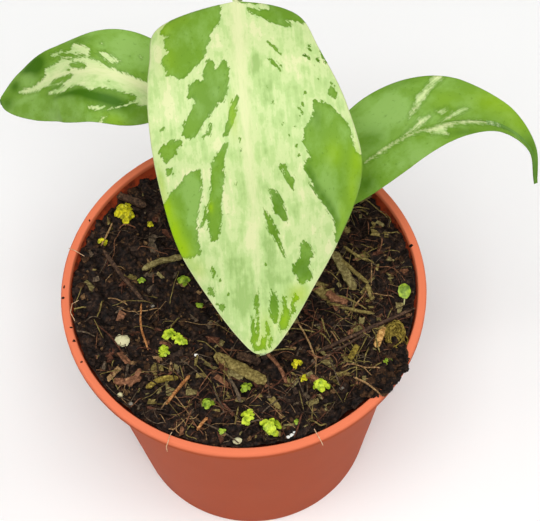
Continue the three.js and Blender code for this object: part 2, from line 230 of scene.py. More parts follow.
def moulded_plastic(name, wall, lip, soiled):
    """Polypropylene out of a fine-grained mould: an even, nearly dull terracotta with the top of
    its lip painted lighter as a highlight, and dark smears where the mix has soiled it."""
    material = new_material(name, Roughness=0.5, IOR=1.49, Specular_IOR_Level=0.015)
    place = add_node(material, "TexCoord").outputs["Object"]
    height = add_node(material, "SeparateXYZ", {}, {0: place})
    lip_highlight_share = add_node(
        material, "MapRange", {"From Min": LIP_HIGHLIGHT_FROM * MM, "From Max": LIP_HIGHLIGHT_TO * MM},
        {"Value": height.outputs["Z"]})
    cloud = add_node(
        material, "TexNoise", {"Scale": 1 / (CLOUD_SIZE * MM), "Detail": 3}, {"Vector": place})
    wall_tone = add_node(
        material, "Mix", {"data_type": "RGBA", UNDER: colour(wall[0]), OVER: colour(wall[1])},
        {SHARE: cloud.outputs["Fac"]})
    clean = add_node(
        material, "Mix", {"data_type": "RGBA", OVER: colour(lip)},
        {SHARE: lip_highlight_share.outputs["Result"], UNDER: wall_tone.outputs[MIXED]})
    smears = add_node(
        material, "TexNoise", {"Scale": 1 / (SMEAR_SIZE * MM), "Detail": 6, "Roughness": 0.7},
        {"Vector": place})
    limits = {"From Min": 0.62 - 0.2 * soiled, "From Max": 0.7 - 0.1 * soiled, "To Max": soiled}
    dirty = add_node(material, "MapRange", limits, {"Value": smears.outputs["Fac"]})
    tone = add_node(
        material, "Mix", {"data_type": "RGBA", OVER: colour("#33211A")},
        {SHARE: dirty.outputs["Result"], UNDER: clean.outputs[MIXED]})
    grain = add_node(
        material, "TexNoise", {"Scale": 1 / (GRAIN_SIZE * MM), "Detail": 1}, {"Vector": place})
    relief = add_node(
        material, "Bump", {"Strength": 0.15, "Distance": 0.1 * MM}, {"Height": grain.outputs["Fac"]})
    dress(material, Base_Color=tone.outputs[MIXED], Normal=relief.outputs["Normal"])
    return material


def settled(holder, name):
    """The finished mesh of a cut shape or a curve, as a plain piece that takes its place."""
    graph = bpy.context.evaluated_depsgraph_get()
    mesh = bpy.data.meshes.new_from_object(holder.evaluated_get(graph))
    mesh.name = name
    bpy.data.objects.remove(holder)
    piece = bpy.data.objects.new(name, mesh)
    bpy.context.scene.collection.objects.link(piece)
    return piece


# outside: the lip colour is a painted highlight on the top of the lip
pot_outer = moulded_plastic(
    "polypropylene, injection moulded, clean", ("#AF4D2A", "#B85532"), "#E67C58", 0)
# inside: the darker copies of the plastic's colours are painted shade, and the smears over them are soil
pot_inner = moulded_plastic(
    "polypropylene, injection moulded, soiled inside", ("#98381E", "#A84426"), "#B24A2C", 0.85)
for face in pot_shape.faces:
    middle = face.calc_center_median()
    inward = face.normal.x * middle.x + face.normal.y * middle.y < -0.1 * middle.length
    face.material_index = 1 if inward and POT_FLOOR < middle.z < POT_HEIGHT - 1.5 else 0

whole_pot = put(pot_shape, "whole_pot", [pot_outer, pot_inner])
drill_bits = bmesh.new()
for hole in range(DRAIN_HOLES):
    turn = 2 * math.pi * hole / DRAIN_HOLES
    spot = Vector((DRAIN_CIRCLE * math.cos(turn), DRAIN_CIRCLE * math.sin(turn), 0))
    bmesh.ops.create_cone(
        drill_bits, cap_ends=True, segments=32, radius1=DRAIN_RADIUS, radius2=DRAIN_RADIUS,
        depth=4 * POT_FLOOR, matrix=Matrix.Translation(spot))
drill = put(drill_bits, "drill", [pot_outer])
drilling = whole_pot.modifiers.new("drain holes", "BOOLEAN")
drilling.operation = "DIFFERENCE"
drilling.solver = "EXACT"
drilling.object = drill
nursery_pot = settled(whole_pot, "nursery_pot")
bpy.data.objects.remove(drill)
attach(nursery_pot, "root")
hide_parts("pot")

# The potting mix: damp dark peat and coir, filled in by hand and watered down, so that it
# lies low at the back and spills over the lip at the front right. The body is one closed
# shape down to the pot's floor, and its top has broken into crumbs with dark cracks between.
GAP = 0.3
MIX_EDGE = [79, 77.4, 74.6, 77.6, 79.3, 79.2, 79.6, 80.2]
MIX_CENTRE = 76
MIX_RADIUS = RIM_RADIUS - LIP_WIDTH - GAP - 0.2
MIX_CELLS = 276
CRUMB_SIZES = [(5.2, 1.3), (2.3, 0.9), (1.1, 0.4)]
DUST_SIZE = 0.55
CRUMB_SEED = 3
# no edge of the mix or of a leaf bends so far that it stays sharp
SMOOTH = 180


def along(values, t):
    """A smooth curve through evenly spaced numbers or points, at t from 0 to 1."""
    last = len(values) - 1
    place = min(max(t, 0), 1) * last
    i = min(int(place), last - 1)
    f = place - i
    p1, p2 = values[i], values[i + 1]
    p0 = values[i - 1] if i > 0 else 2 * p1 - p2
    p3 = values[i + 2] if i + 2 <= last else 2 * p2 - p1
    return 0.5 * (
        2 * p1 + (p2 - p0) * f + (2 * p0 - 5 * p1 + 4 * p2 - p3) * f ** 2
        + (3 * p1 - p0 - 3 * p2 + p3) * f ** 3)


def mix_level(x, y):
    """The height of the mix: a tilted dish with soft clods."""
    turn = (math.atan2(y, x) / (2 * math.pi)) % 1
    edge = along([*MIX_EDGE * 3, MIX_EDGE[0]], (turn + 1) / 3)
    inward = min(math.hypot(x, y) / MIX_RADIUS, 1)
    clods = 0.5 * math.sin(0.62 * x + 1.1 * math.sin(0.35 * y))
    clods += 0.45 * math.sin(0.55 * y - 0.8 * math.sin(0.41 * x) + 1)
    clods += 0.35 * math.sin(1.15 * x + 0.9 * y)
    return MIX_CENTRE + (edge - MIX_CENTRE) * inward ** 1.5 + clods


def wall_reach(height):
    """How far from the axis the mix may reach at a height: a gap short of the pot's wall."""
    for (low_reach, low), (high_reach, high) in zip(pot_inside, pot_inside[1:]):
        if height <= high:
            return low_reach + (high_reach - low_reach) * (height - low) / (high - low) - GAP
    return MIX_RADIUS


def crumbled(x, y):
    """The mix's height with its crumbs, the cracks between them and dust."""
    height = mix_level(x, y)
    spot = Vector((x, y, 0))
    bent = spot + 0.6 * noise.noise_vector(spot / 1.7)
    for size, relief in CRUMB_SIZES:
        distances, centres = noise.voronoi(bent / size)
        crack = min(1, 3 * (distances[1] - distances[0]))
        height += relief * (0.6 * crack - 0.45 + 0.5 * noise.noise(centres[0] * 5.3))
    return height + 0.22 * noise.noise(spot / DUST_SIZE) + 0.12 * noise.noise(spot * 4)


# without a seed, noise_vector starts from the clock and the crumbs differ from run to run
noise.seed_set(CRUMB_SEED)
mix_shape = bmesh.new()
bmesh.ops.create_grid(mix_shape, x_segments=MIX_CELLS, y_segments=MIX_CELLS, size=1)
for corner in mix_shape.verts:
    across, deep = corner.co.x, corner.co.y
    x = MIX_RADIUS * across * math.sqrt(1 - deep ** 2 / 2)
    y = MIX_RADIUS * deep * math.sqrt(1 - across ** 2 / 2)
    height = crumbled(x, y)
    held = min(1, wall_reach(height) / max(math.hypot(x, y), 1))
    corner.co = (held * x, held * y, height)
mix_rim = [edge for edge in mix_shape.edges if edge.is_boundary]
wall_rings = [(radius - GAP, height) for radius, height in reversed(pot_inside[:3])]
for radius, height in wall_rings:
    pulled = bmesh.ops.extrude_edge_only(mix_shape, edges=mix_rim)["geom"]
    for corner in (part for part in pulled if isinstance(part, bmesh.types.BMVert)):
        flat = Vector((corner.co.x, corner.co.y))
        flat *= radius / flat.length
        corner.co = (flat.x, flat.y, min(corner.co.z - 0.5, height + GAP))
    mix_rim = [part for part in pulled if isinstance(part, bmesh.types.BMEdge)]
bmesh.ops.edgeloop_fill(mix_shape, edges=mix_rim)
bmesh.ops.recalc_face_normals(mix_shape, faces=mix_shape.faces)


# where the dark, the middle and the light brown lie in the noise of the specks
SPECK_STOPS = (0.42, 0.58, 0.74)


def earthy_material(name, dark, middle, light, speck_size, roughness):
    """Damp plant matter, torn and rotted: three browns in specks of a size in millimetres over
    a rough relief, so that it looks dark and crumbly, with few and dull glints."""
    material = new_material(name, Roughness=roughness, Specular_IOR_Level=0.15)
    place = add_node(material, "TexCoord")
    specks = add_node(
        material, "TexNoise", {"Scale": 1 / (speck_size * MM), "Detail": 5, "Roughness": 0.7},
        {"Vector": place.outputs["Object"]})
    ramp = add_node(material, "ValToRGB", {}, {"Fac": specks.outputs["Fac"]})
    stops = ramp.color_ramp.elements
    stops[0].position = SPECK_STOPS[0]
    stops[0].color = colour(dark)
    stops[1].position = SPECK_STOPS[2]
    stops[1].color = colour(light)
    stops.new(SPECK_STOPS[1]).color = colour(middle)
    relief = add_node(
        material, "Bump", {"Strength": 0.6, "Distance": 0.3 * MM}, {"Height": specks.outputs["Fac"]})
    dress(material, Base_Color=ramp.outputs["Color"], Normal=relief.outputs["Normal"])
    return material


# nearly black where it is wet between the crumbs, with brown specks of torn fibre
damp_peat = earthy_material("damp peat, crumbled", "#0F0A08", "#2F211A", "#6A4C33", 1.4, 0.7)
potting_mix = put(mix_shape, "potting_mix_body", [damp_peat], sharp=SMOOTH)
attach(potting_mix, "root")
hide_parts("potting_mix")

# The loose crumbs on top: torn peat and bits of bark, each a small angular lump that lies
# half sunk where it fell. The darkest are wet peat, the palest dry coir.
STEM_PLACE = (4.4, 5)
STEM_CLEARANCE = 3.5
# every edge of a crumb or a flake stays sharp
FACETED = 5
ANY_TURN = (0, 6.28)
CRUMB_SPECKS = 0.8
# name, number of crumbs, size and three browns: wet peat looks nearly black, damp bark
# reddish brown, and dry coir pale and dusty
CRUMB_KINDS = [
    ("peat crumbs, wet", 700, 1, "#0C0806", "#251A14", "#4E3828"),
    ("bark crumbs, damp", 520, 0.9, "#2A1B12", "#49321F", "#78563A"),
    ("coir crumbs, dry", 260, 0.6, "#4E3822", "#80603F", "#B2926A"),
]


def lump(shape, centre, size, flatness, draw):
    """An angular lump: a squashed icosahedron with its corners pulled about."""
    squash = Matrix.Diagonal((1, 0.55 + 0.4 * draw.random(), flatness, 1))
    lean = Matrix.Rotation(draw.uniform(-0.7, 0.7), 4, "X")
    lean = lean @ Matrix.Rotation(draw.uniform(*ANY_TURN), 4, "Z")
    made = bmesh.ops.create_icosphere(
        shape, subdivisions=1, radius=size, matrix=Matrix.Translation(centre) @ lean @ squash)
    for corner in made["verts"]:
        corner.co += Vector([draw.uniform(-0.3, 0.3) * size for _ in range(3)])


def spot_on_mix(draw, margin):
    """A random place on the mix, clear of the stem and the wall."""
    while True:
        reach = (MIX_RADIUS - margin) * math.sqrt(draw.random())
        turn = draw.uniform(0, 2 * math.pi)
        x, y = reach * math.cos(turn), reach * math.sin(turn)
        clear_of_wall = reach < wall_reach(mix_level(x, y)) - margin
        if clear_of_wall and math.dist((x, y), STEM_PLACE) > STEM_CLEARANCE:
            return x, y


draw = random.Random(4)
crumb_skins = {}
for name, count, scale, dark, middle, light in CRUMB_KINDS:
    crumb_skins[name] = earthy_material(name, dark, middle, light, CRUMB_SPECKS, 0.8)
    crumb_shape = bmesh.new()
    for _ in range(count):
        x, y = spot_on_mix(draw, 1)
        size = scale * (0.3 + 0.5 * draw.random() + 0.9 * draw.random() ** 5)
        centre = Vector((x, y, crumbled(x, y) + 0.1 * size))
        lump(crumb_shape, centre, size, draw.uniform(0.35, 0.8), draw)
    piece_name = name.split(",")[0].replace(" ", "_")
    crumbs = put(crumb_shape, piece_name, [crumb_skins[name]], sharp=FACETED)
    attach(crumbs, "root")

# The spilled mix: a small heap of peat and bark that has rolled over the lip at the front
# right, with a few single crumbs left on the lip. It lies loose and was never brushed off.
HEAP_FROM = math.radians(-25)
HEAP_TO = math.radians(-49)
HEAP_LUMPS = 560
HEAP_BARK = 0.34
HEAP_INNER = MIX_RADIUS - 3
HEAP_RISE = 1.2
LIP_MIDDLE = 42.2
# the turn in degrees, the distance from the pot's axis and the size
LIP_CRUMBS = [
    (152, 43.4, 0.45), (178, 44.2, 0.45), (182, 44.4, 0.5), (193, 43.3, 0.4),
    (198, 43.5, 0.45), (206, 43.8, 0.4), (12, 42.9, 0.7), (318, 44.3, 0.4),
]

draw = random.Random(9)
spill_shape = bmesh.new()
spill_bark = bmesh.new()
for _ in range(HEAP_LUMPS):
    share = draw.random()
    turn = HEAP_FROM + (HEAP_TO - HEAP_FROM) * share
    hump = math.sin(math.pi * share)
    reach = HEAP_INNER + draw.random() * (2 + 3.6 * min(1, 1.6 * hump))
    size = 0.35 + 0.95 * draw.random() ** 2
    over_lip = max(0, 1 - abs(reach - LIP_MIDDLE) / 3)
    x, y = reach * math.cos(turn), reach * math.sin(turn)
    rest = crumbled(x, y) if reach < MIX_RADIUS - 0.5 else POT_HEIGHT
    piled = HEAP_RISE * hump * over_lip * draw.random()
    centre = Vector((x, y, max(rest, POT_HEIGHT - 0.4) + 0.3 * size + piled))
    heap = spill_bark if draw.random() < HEAP_BARK else spill_shape
    lump(heap, centre, size, draw.uniform(0.4, 0.8), draw)
for turn, reach, size in LIP_CRUMBS:
    turn = math.radians(turn)
    centre = Vector((reach * math.cos(turn), reach * math.sin(turn), POT_HEIGHT + 0.1 * size))
    lump(spill_shape, centre, size, 0.4, draw)
spilled_mix = put(spill_shape, "spilled_mix", [crumb_skins["peat crumbs, wet"]], sharp=FACETED)
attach(spilled_mix, "root")
spilled_bark = put(spill_bark, "spilled_bark", [crumb_skins["bark crumbs, damp"]], sharp=FACETED)
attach(spilled_bark, "root")

# Sticks, bark and thick roots on the mix: split and weathered wood from the peat, brown to
# olive, and thick old roots. Each one lies along the surface where the mix carries it.
WOOD_SPECKS = 0.7
STICK_LIFT = 0.6
STICK_STEPS = 36
STICK_SIDES = 16
# name, path over the mix, half the width, half the height and tone
STICKS = [
    ("bark_strip", [(-7.6, -18), (-1.5, -21.8), (4.6, -26)], 1.45, 0.45, "straw"),
    ("bark_flake", [(-2.2, -17.6), (1, -19.4), (3.4, -20.6)], 1, 0.35, "umber"),
    ("grey_stick", [(-25.2, 6.8), (-20.7, 8.9), (-14.7, 10.2)], 0.75, 0.5, "olive"),
    ("olive_stick_right", [(22.9, 9.2), (25, 4), (27.4, -1.6)], 1.15, 0.45, "olive"),
    ("olive_stick_left", [(-24, -26), (-20.7, -24.1), (-16.3, -23.9)], 0.65, 0.4, "gold"),
    ("tan_chip", [(-31.8, -24.2), (-28.4, -24.6), (-25.1, -23.6)], 0.85, 0.4, "rust"),
    ("tan_flake", [(-28, -26), (-26.5, -24), (-25.2, -21.6)], 0.6, 0.35, "rust"),
    ("orange_twig", [(-19.2, -31), (-16.3, -26.9), (-13.5, -23.3)], 0.4, 0.35, "orange"),
    ("orange_twig_small", [(-12, -37.6), (-10.5, -35.9), (-9.3, -35)], 0.35, 0.3, "orange"),
    ("orange_chip", [(31.3, -18.6), (32.5, -15.8), (33.7, -13.1)], 0.85, 0.4, "amber"),
    ("long_root", [(17.3, -18.3), (27.8, -14.2), (41.5, -8.8)], 0.48, 0.5, "umber"),
    ("thin_root", [(17.2, -21.5), (24, -17.5), (30.5, -13.8)], 0.28, 0.3, "umber"),
    ("tan_root_a", [(12.7, -9.5), (15.2, -15.4), (16.9, -21.5)], 0.2, 0.2, "tan"),
    ("tan_root_b", [(25.4, -26.1), (28.5, -28.5), (31.6, -32.1)], 0.2, 0.2, "tan"),
    ("rust_root", [(-25.3, -2.9), (-25.3, -9.4), (-23.6, -15.6)], 0.25, 0.25, "orange"),
    ("straw_curve", [(-35.3, 12.9), (-34, 16.4), (-32.7, 20.4)], 0.2, 0.2, "tan"),
    ("straw_blade_a", [(22.4, 9.6), (26.4, 4.6), (30.8, -0.4)], 0.5, 0.3, "straw"),
    ("straw_blade_b", [(25.4, 10.4), (28.6, 7.6), (32.6, 5.6)], 0.35, 0.3, "straw"),
    ("straw_blade_c", [(30.4, -0.6), (31, -2.6), (31.6, -5)], 0.6, 0.3, "straw"),
    ("straw_blade_d", [(20.6, -4.4), (26, -7.4), (31.6, -9.6)], 0.4, 0.3, "straw"),
    ("rust_bark", [(20.6, -1.4), (22.4, -3.6), (25.4, -5)], 1, 0.4, "rust"),
    ("brown_root", [(-34.8, 11.8), (-30.4, 5), (-24.8, -2.3)], 0.5, 0.4, "umber"),
    ("back_bark", [(-32, 29.2), (-28.3, 27), (-24.2, 25)], 1, 0.5, "umber"),
    ("pale_chip", [(24.9, -21.5), (26, -19.2), (27, -17)], 0.75, 0.4, "gold"),
    ("pink_chip", [(15.2, -25.2), (16.3, -25.6), (17.4, -26.4)], 0.6, 0.35, "rust"),
    ("front_twig", [(4.8, -17.8), (7.8, -22), (9.6, -26.4)], 0.4, 0.35, "rust"),
    ("front_straw", [(-4.4, -24.2), (-2.8, -27), (-1.6, -31)], 0.4, 0.3, "grey"),
]
# three browns for each tone: old wood that has lain damp, dull and fibrous, from nearly black
# over rust and olive to dry straw
WOOD_TONES = {
    "olive": ("#655834", "#938654", "#B9AB7C"),
    "grey": ("#40352A", "#6B5A47", "#948068"),
    "tan": ("#77583A", "#B08C5E", "#D2B283"),
    "orange": ("#84502A", "#BE854F", "#E0AF77"),
    "rust": ("#63402C", "#936447", "#BC8C69"),
    "dark": ("#221812", "#3F2E23", "#68503F"),
    "red": ("#402419", "#663F2D", "#8E664F"),
    "straw": ("#64552C", "#93824A", "#C0AD70"),
    "gold": ("#5E4F1E", "#9A8537", "#CBB764"),
    "amber": ("#9A6E38", "#D9A966", "#F0D096"),
    "umber": ("#2E211A", "#574030", "#86694F"),
    "pale": ("#C79A72", "#E2BE98", "#F2DCC0"),
}


def rolled(steps, sides, place):
    """A grid rolled into a closed tube. place gives a point from its shares of length and turn."""
    tube = bmesh.new()
    bmesh.ops.create_grid(tube, x_segments=steps, y_segments=sides, size=0.5)
    for corner in tube.verts:
        corner.co = place(corner.co.x + 0.5, corner.co.y + 0.5)
    bmesh.ops.remove_doubles(tube, verts=tube.verts, dist=0.0005)
    bmesh.ops.holes_fill(tube, edges=tube.edges, sides=0)
    bmesh.ops.recalc_face_normals(tube, faces=tube.faces)
    return tube


def heading(points, t):
    """The direction of a curve through points at t."""
    return (along(points, min(t + 0.01, 1)) - along(points, max(t - 0.01, 0))).normalized()


def split_wood(path, wide, high, seed):
    """A split stick lying on the mix along a path of places, with a ragged outline and ends."""
    points = [Vector((x, y, mix_level(x, y) + 0.35 * high + STICK_LIFT)) for x, y in path]
    points[1].z = max(points[1].z, (points[0].z + points[2].z) / 2)

    def place(t, turn):
        centre = along(points, t)
        forward = heading(points, t)
        across = Vector((0, 0, 1)).cross(forward).normalized()
        up = forward.cross(across)
        angle = 2 * math.pi * turn
        width, height = math.cos(angle), math.sin(angle)
        squared = max(abs(width), abs(height)) ** 0.6
        ragged = 1 + 0.3 * noise.noise(Vector((seed, 3 * width, 3 * height)))
        ragged += 0.3 * noise.noise(Vector((8 * t, 2 * width, seed)))
        ends = min(1, 0.3 + 8 * min(t, 1 - t) + 0.4 * noise.noise(Vector((width, seed, 2 * t))))
        return centre + ends * ragged / squared * (across * wide * width + up * high * height)

    return rolled(STICK_STEPS, STICK_SIDES, place)


woods = {
    tone: earthy_material(f"weathered wood, split, {tone}", *browns, WOOD_SPECKS, 0.7)
    for tone, browns in WOOD_TONES.items()
}
for seed, (name, path, wide, high, tone) in enumerate(STICKS):
    stick = put(split_wood(path, wide, high, seed), name, [woods[tone]], sharp=50)
    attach(stick, "root")

# Bark flakes and straw: flat bits of bark and old leaf, 1 to 5 mm long, that settled at all
# angles among the crumbs. Most are brown, and a few are pale where they have dried.
FLAKE_THICKNESS = 0.3
# tone and number of flakes
FLAKE_TONES = [
    ("dark", 170), ("red", 110), ("grey", 80), ("rust", 55), ("olive", 90), ("straw", 110), ("tan", 16),
]
DRY_TONES = ("olive", "straw", "tan", "rust")
DRY_FRONT = -22
DRY_RIGHT = 14
DRY_FADE = 4


def dry_spot(draw):
    """A random place on the mix, most often at the front or by the right wall, where it dries."""
    while True:
        x, y = spot_on_mix(draw, 2)
        at_front = 1 / (1 + math.exp((y - DRY_FRONT) / DRY_FADE))
        at_right = 1 / (1 + math.exp((DRY_RIGHT - x) / DRY_FADE))
        if draw.random() <= 0.25 + 0.75 * max(at_front, at_right):
            return x, y


draw = random.Random(12)
for tone, count in FLAKE_TONES:
    flake_shape = bmesh.new()
    for _ in range(count):
        x, y = dry_spot(draw) if tone in DRY_TONES else spot_on_mix(draw, 2)
        length = 0.9 + 3.6 * draw.random() ** 2
        size = (length, length * draw.uniform(0.1, 0.45), FLAKE_THICKNESS)
        lean = Matrix.Rotation(draw.uniform(*ANY_TURN), 4, "Z")
        lean = lean @ Matrix.Rotation(draw.uniform(-0.5, 0.5), 4, "Y")
        lean = lean @ Matrix.Rotation(draw.uniform(-0.6, 0.6), 4, "X")
        centre = Matrix.Translation((x, y, crumbled(x, y) + 0.2))
        made = bmesh.ops.create_cube(
            flake_shape, size=1, matrix=centre @ lean @ Matrix.Diagonal((*size, 1)))
        for corner in made["verts"]:
            corner.co += Vector([draw.uniform(-0.15, 0.15) * length for _ in range(3)])
    flakes = put(flake_shape, f"bark_flakes_{tone}", [woods[tone]], sharp=FACETED)
    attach(flakes, "root")

# Thin roots and coir fibres: hundreds of brown threads, 0.1 to 0.5 mm thick, which lie
# over the crumbs in all directions with their ends tucked in, most of them nearly straight.
THREADS = 760
THREAD_POINTS = 9
THREAD_REACH = MIX_RADIUS - 0.6
CURLY_SHARE = 0.12
CURLY = 0.8
NEARLY_STRAIGHT = 0.12
# tone and the share of all threads up to and with it
THREAD_TONES = [
    ("dark", 0.3), ("red", 0.52), ("grey", 0.66), ("rust", 0.76), ("straw", 0.93), ("tan", 1),
]


def thread_holder(name, materials, radius):
    """A holder for round threads of a radius in millimetres, with no thread in it yet."""
    curve = bpy.data.curves.new(name, "CURVE")
    curve.dimensions = "3D"
    curve.bevel_depth = radius * MM
    curve.bevel_resolution = 1
    curve.use_fill_caps = True
    for material in materials:
        curve.materials.append(material)
    holder = bpy.data.objects.new(name, curve)
    bpy.context.scene.collection.objects.link(holder)
    return holder


draw = random.Random(21)
holder = thread_holder("roots_and_fibres", [woods[tone] for tone, _ in THREAD_TONES], 1)
for _ in range(THREADS):
    x, y = dry_spot(draw)
    turn = draw.uniform(0, 2 * math.pi)
    length = 2 + 4 * draw.random() + 9 * draw.random() ** 3
    curly = CURLY if draw.random() < CURLY_SHARE else NEARLY_STRAIGHT
    bend = curly * draw.uniform(-0.35, 0.35)
    radius = 0.05 + 0.06 * draw.random() + 0.14 * draw.random() ** 4
    pick = draw.random()
    line = holder.data.splines.new("POLY")
    line.points.add(THREAD_POINTS - 1)
    line.material_index = next(i for i, (_, share) in enumerate(THREAD_TONES) if pick <= share)
    line.use_smooth = True
    for step, point in enumerate(line.points):
        reach = math.hypot(x, y)
        if reach > THREAD_REACH:
            x *= THREAD_REACH / reach
            y *= THREAD_REACH / reach
        share = step / (THREAD_POINTS - 1)
        lift = 0.5 * math.sin(math.pi * share) + 0.25 + 0.15 * math.sin(9 * share + turn)
        tucked = -0.5 if step in (0, THREAD_POINTS - 1) else 0
        point.co = (x * MM, y * MM, (mix_level(x, y) + 0.35 + lift + tucked) * MM, 1)
        point.radius = radius * (0.6 + 0.4 * math.sin(math.pi * (0.15 + 0.7 * share)))
        turn += bend + curly * draw.uniform(-0.35, 0.35)
        x += length / THREAD_POINTS * math.cos(turn)
        y += length / THREAD_POINTS * math.sin(turn)
threads = settled(holder, "roots_and_fibres")
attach(threads, "root")

# Moss and seedlings: tiny cupped leaves in loose clumps, yellow where they are young and
# green in the shade of the leaves, growing wild on the damp mix.
MOSS_CLOUD_SIZE = 1.2
# place, size, number of leaves and tone
CLUMPS = [
    (-29.7, 22.6, 2.5, 25, "yellow"), (-23.3, 20.3, 0.9, 15, "yellow"),
    (-35.1, 14.7, 1.3, 15, "yellow"), (-14.9, 3.7, 1.6, 15, "green"), (-25.3, 3.6, 1, 10, "green"),
    (-11.1, -3.3, 1, 10, "green"), (-18.4, -12.2, 1.7, 15, "bright"),
    (-15.8, -13.5, 1.7, 15, "bright"), (-19.8, -16.4, 1.5, 15, "bright"),
    (-0.2, -27.1, 1.6, 10, "green"), (-9.4, -31.4, 1.6, 15, "green"), (-0.1, -35.4, 1.9, 15, "bright"),
    (5.4, -38, 2.4, 20, "bright"), (-6, -38.7, 1, 10, "green"), (12.1, -21.6, 1.3, 10, "yellow"),
    (13.7, -25.5, 1.1, 10, "yellow"), (17.6, -27.5, 1.9, 15, "bright"),
    (11.4, -37.1, 0.8, 10, "green"), (33.9, -22.9, 1.2, 10, "green"),
]
# the shade and the light of each tone: thin wet leaf skin with a soft gloss, in a clear
# yellow-green that stands out from the brown mix
CLUMP_COLOURS = {
    "yellow": ("#8E8A12", "#E6DC22"),
    "green": ("#5E7A1A", "#A3BC34"),
    "bright": ("#7E9A14", "#CFE03C"),
}


def cupped_leaf(shape, spot, turn, tilt, width, draw):
    """One small cupped leaf, its hollow side to the sky."""
    made = bmesh.ops.create_icosphere(shape, subdivisions=2, radius=1)
    seed = draw.uniform(0, 50)
    lean = Matrix.Rotation(turn, 3, "Z") @ Matrix.Rotation(tilt, 3, "Y")
    for corner in made["verts"]:
        x, y, z = corner.co
        ripple = 0.16 * noise.noise(Vector((2 * x + seed, 2 * y, z)))
        hollow = 0.2 * z + 0.35 * (x * x + y * y) + ripple
        cupped = Vector((1.1 * x * (1 + ripple), 0.9 * y * (1 + ripple), hollow))
        corner.co = spot + lean @ cupped * width


draw = random.Random(31)
moss_skins = {}
for tone, (shade, light) in CLUMP_COLOURS.items():
    moss = new_material(f"moss leaves, {tone}", Roughness=0.5, Specular_IOR_Level=0.3)
    moss_skins[tone] = moss
    moss_place = add_node(moss, "TexCoord")
    moss_cloud = add_node(
        moss, "TexNoise", {"Scale": 1 / (MOSS_CLOUD_SIZE * MM), "Detail": 3},
        {"Vector": moss_place.outputs["Object"]})
    moss_range = add_node(
        moss, "MapRange", {"From Min": 0.36, "From Max": 0.6}, {"Value": moss_cloud.outputs["Fac"]})
    moss_colour = add_node(
        moss, "Mix", {"data_type": "RGBA", UNDER: colour(shade), OVER: colour(light)},
        {SHARE: moss_range.outputs["Result"]})
    dress(moss, Base_Color=moss_colour.outputs[MIXED])
    moss_shape = bmesh.new()
    for x, y, size, leaves, kind in CLUMPS:
        if kind != tone:
            continue
        for leaf in range(leaves):
            turn = 2.4 * leaf + draw.uniform(-0.4, 0.4)
            outward = math.sqrt(leaf / leaves) * draw.uniform(0.75, 1.15)
            reach = 0.8 * size * outward
            spot = Vector((x + reach * math.cos(turn), y + reach * math.sin(turn), 0))
            spot.z = mix_level(spot.x, spot.y) + 0.5 + size * (0.75 - 0.5 * outward)
            tilt = 0.9 * outward + draw.uniform(-0.4, 0.4)
            cupped_leaf(moss_shape, spot, turn, tilt, size * draw.uniform(0.26, 0.44), draw)
    clump = put(moss_shape, f"moss_{tone}", [moss], sharp=70)
    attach(clump, "root")

# The round seedling by the right wall and the ball of curled fibre under it: one seed leaf on
# a thin pale stalk that grew wild, and dried moss that has curled up where it fell.
SEEDLING = Vector((39.4, -3.2, 79.2))
SEEDLING_FOOT = Vector((38.9, -8, 75.8))
SEEDLING_TURN = math.radians(-90)
SEEDLING_TILT = 0.45
SEEDLING_SIZE = 1.75
SPROUT_STEPS = 8
SPROUT_BOW = 0.7
LEAF_EDGE = Vector((0, -1.5, -0.5))
FIBRE_BALL = Vector((36.2, -15.8, 79.2))
FIBRE_LOOPS = 64
LOOP_POINTS = 13

draw = random.Random(5)
seedling_shape = bmesh.new()
cupped_leaf(seedling_shape, SEEDLING, SEEDLING_TURN, SEEDLING_TILT, SEEDLING_SIZE, draw)
seedling = put(seedling_shape, "seedling_leaf", [moss_skins["green"]])
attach(seedling, "root")

# a watery shoot with hardly any green, so that it looks pale and a little shiny
pale_stalk = new_material(
    "seedling stalk, watery white", Base_Color=colour("#B3AE74"), Roughness=0.4, Specular_IOR_Level=0.4)


def thin_line(name, lines, material, radius):
    """Thin threads through points in millimetres, as one piece."""
    holder = thread_holder(name, [material], radius)
    for points in lines:
        line = holder.data.splines.new("POLY")
        line.points.add(len(points) - 1)
        for point, place in zip(line.points, points):
            point.co = (*(Vector(place) * MM), 1)
    piece = settled(holder, name)
    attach(piece, "root")


sprout = []
for step in range(SPROUT_STEPS + 1):
    share = step / SPROUT_STEPS
    bow = Vector((0, 0, SPROUT_BOW * math.sin(math.pi * share)))
    sprout.append(SEEDLING_FOOT.lerp(SEEDLING + LEAF_EDGE, share) + bow)
thin_line("seedling_stalk", [sprout], pale_stalk, 0.2)
wound = []
for _ in range(FIBRE_LOOPS):
    size = draw.uniform(0.3, 2.4)
    shift = Vector((draw.uniform(-0.8, 0.8), draw.uniform(-2, 2), draw.uniform(-0.6, 0.4)))
    tilt = Matrix.Rotation(draw.uniform(-0.7, 0.7), 3, "X")
    tilt = tilt @ Matrix.Rotation(draw.uniform(-0.8, 0.8), 3, "Y")
    begin = draw.uniform(0, 2 * math.pi)
    loop = []
    for step in range(LOOP_POINTS):
        angle = begin + draw.uniform(0.38, 0.48) * step
        around = Vector((size * math.cos(angle), 1.4 * size * math.sin(angle), 0))
        loop.append(FIBRE_BALL + shift + tilt @ around)
    wound.append(loop)
thin_line("fibre_ball", wound, woods["gold"], 0.2)

# The pale grains: puffed perlite that keeps the mix open, white, or stained cream and grey
# where it has lain in the damp. Each grain is pitted and lies half sunk among the crumbs.
PIT_SIZE = 0.6
# place, size and tone
GRAINS = [
    (-29.9, -13.2, 1.75, "cream"), (-2.7, -40.4, 1, "cream"), (-30.1, -28, 0.7, "cream"),
    (9.3, -40.2, 0.45, "white"), (10.2, -39.8, 0.5, "white"), (10.8, -39, 0.35, "white"),
    (-22.7, -3.2, 0.5, "grey"), (-11.9, -17.6, 0.5, "white"), (-27.5, -30.5, 0.5, "grey"),
    (22.5, -28.6, 0.5, "grey"),
]
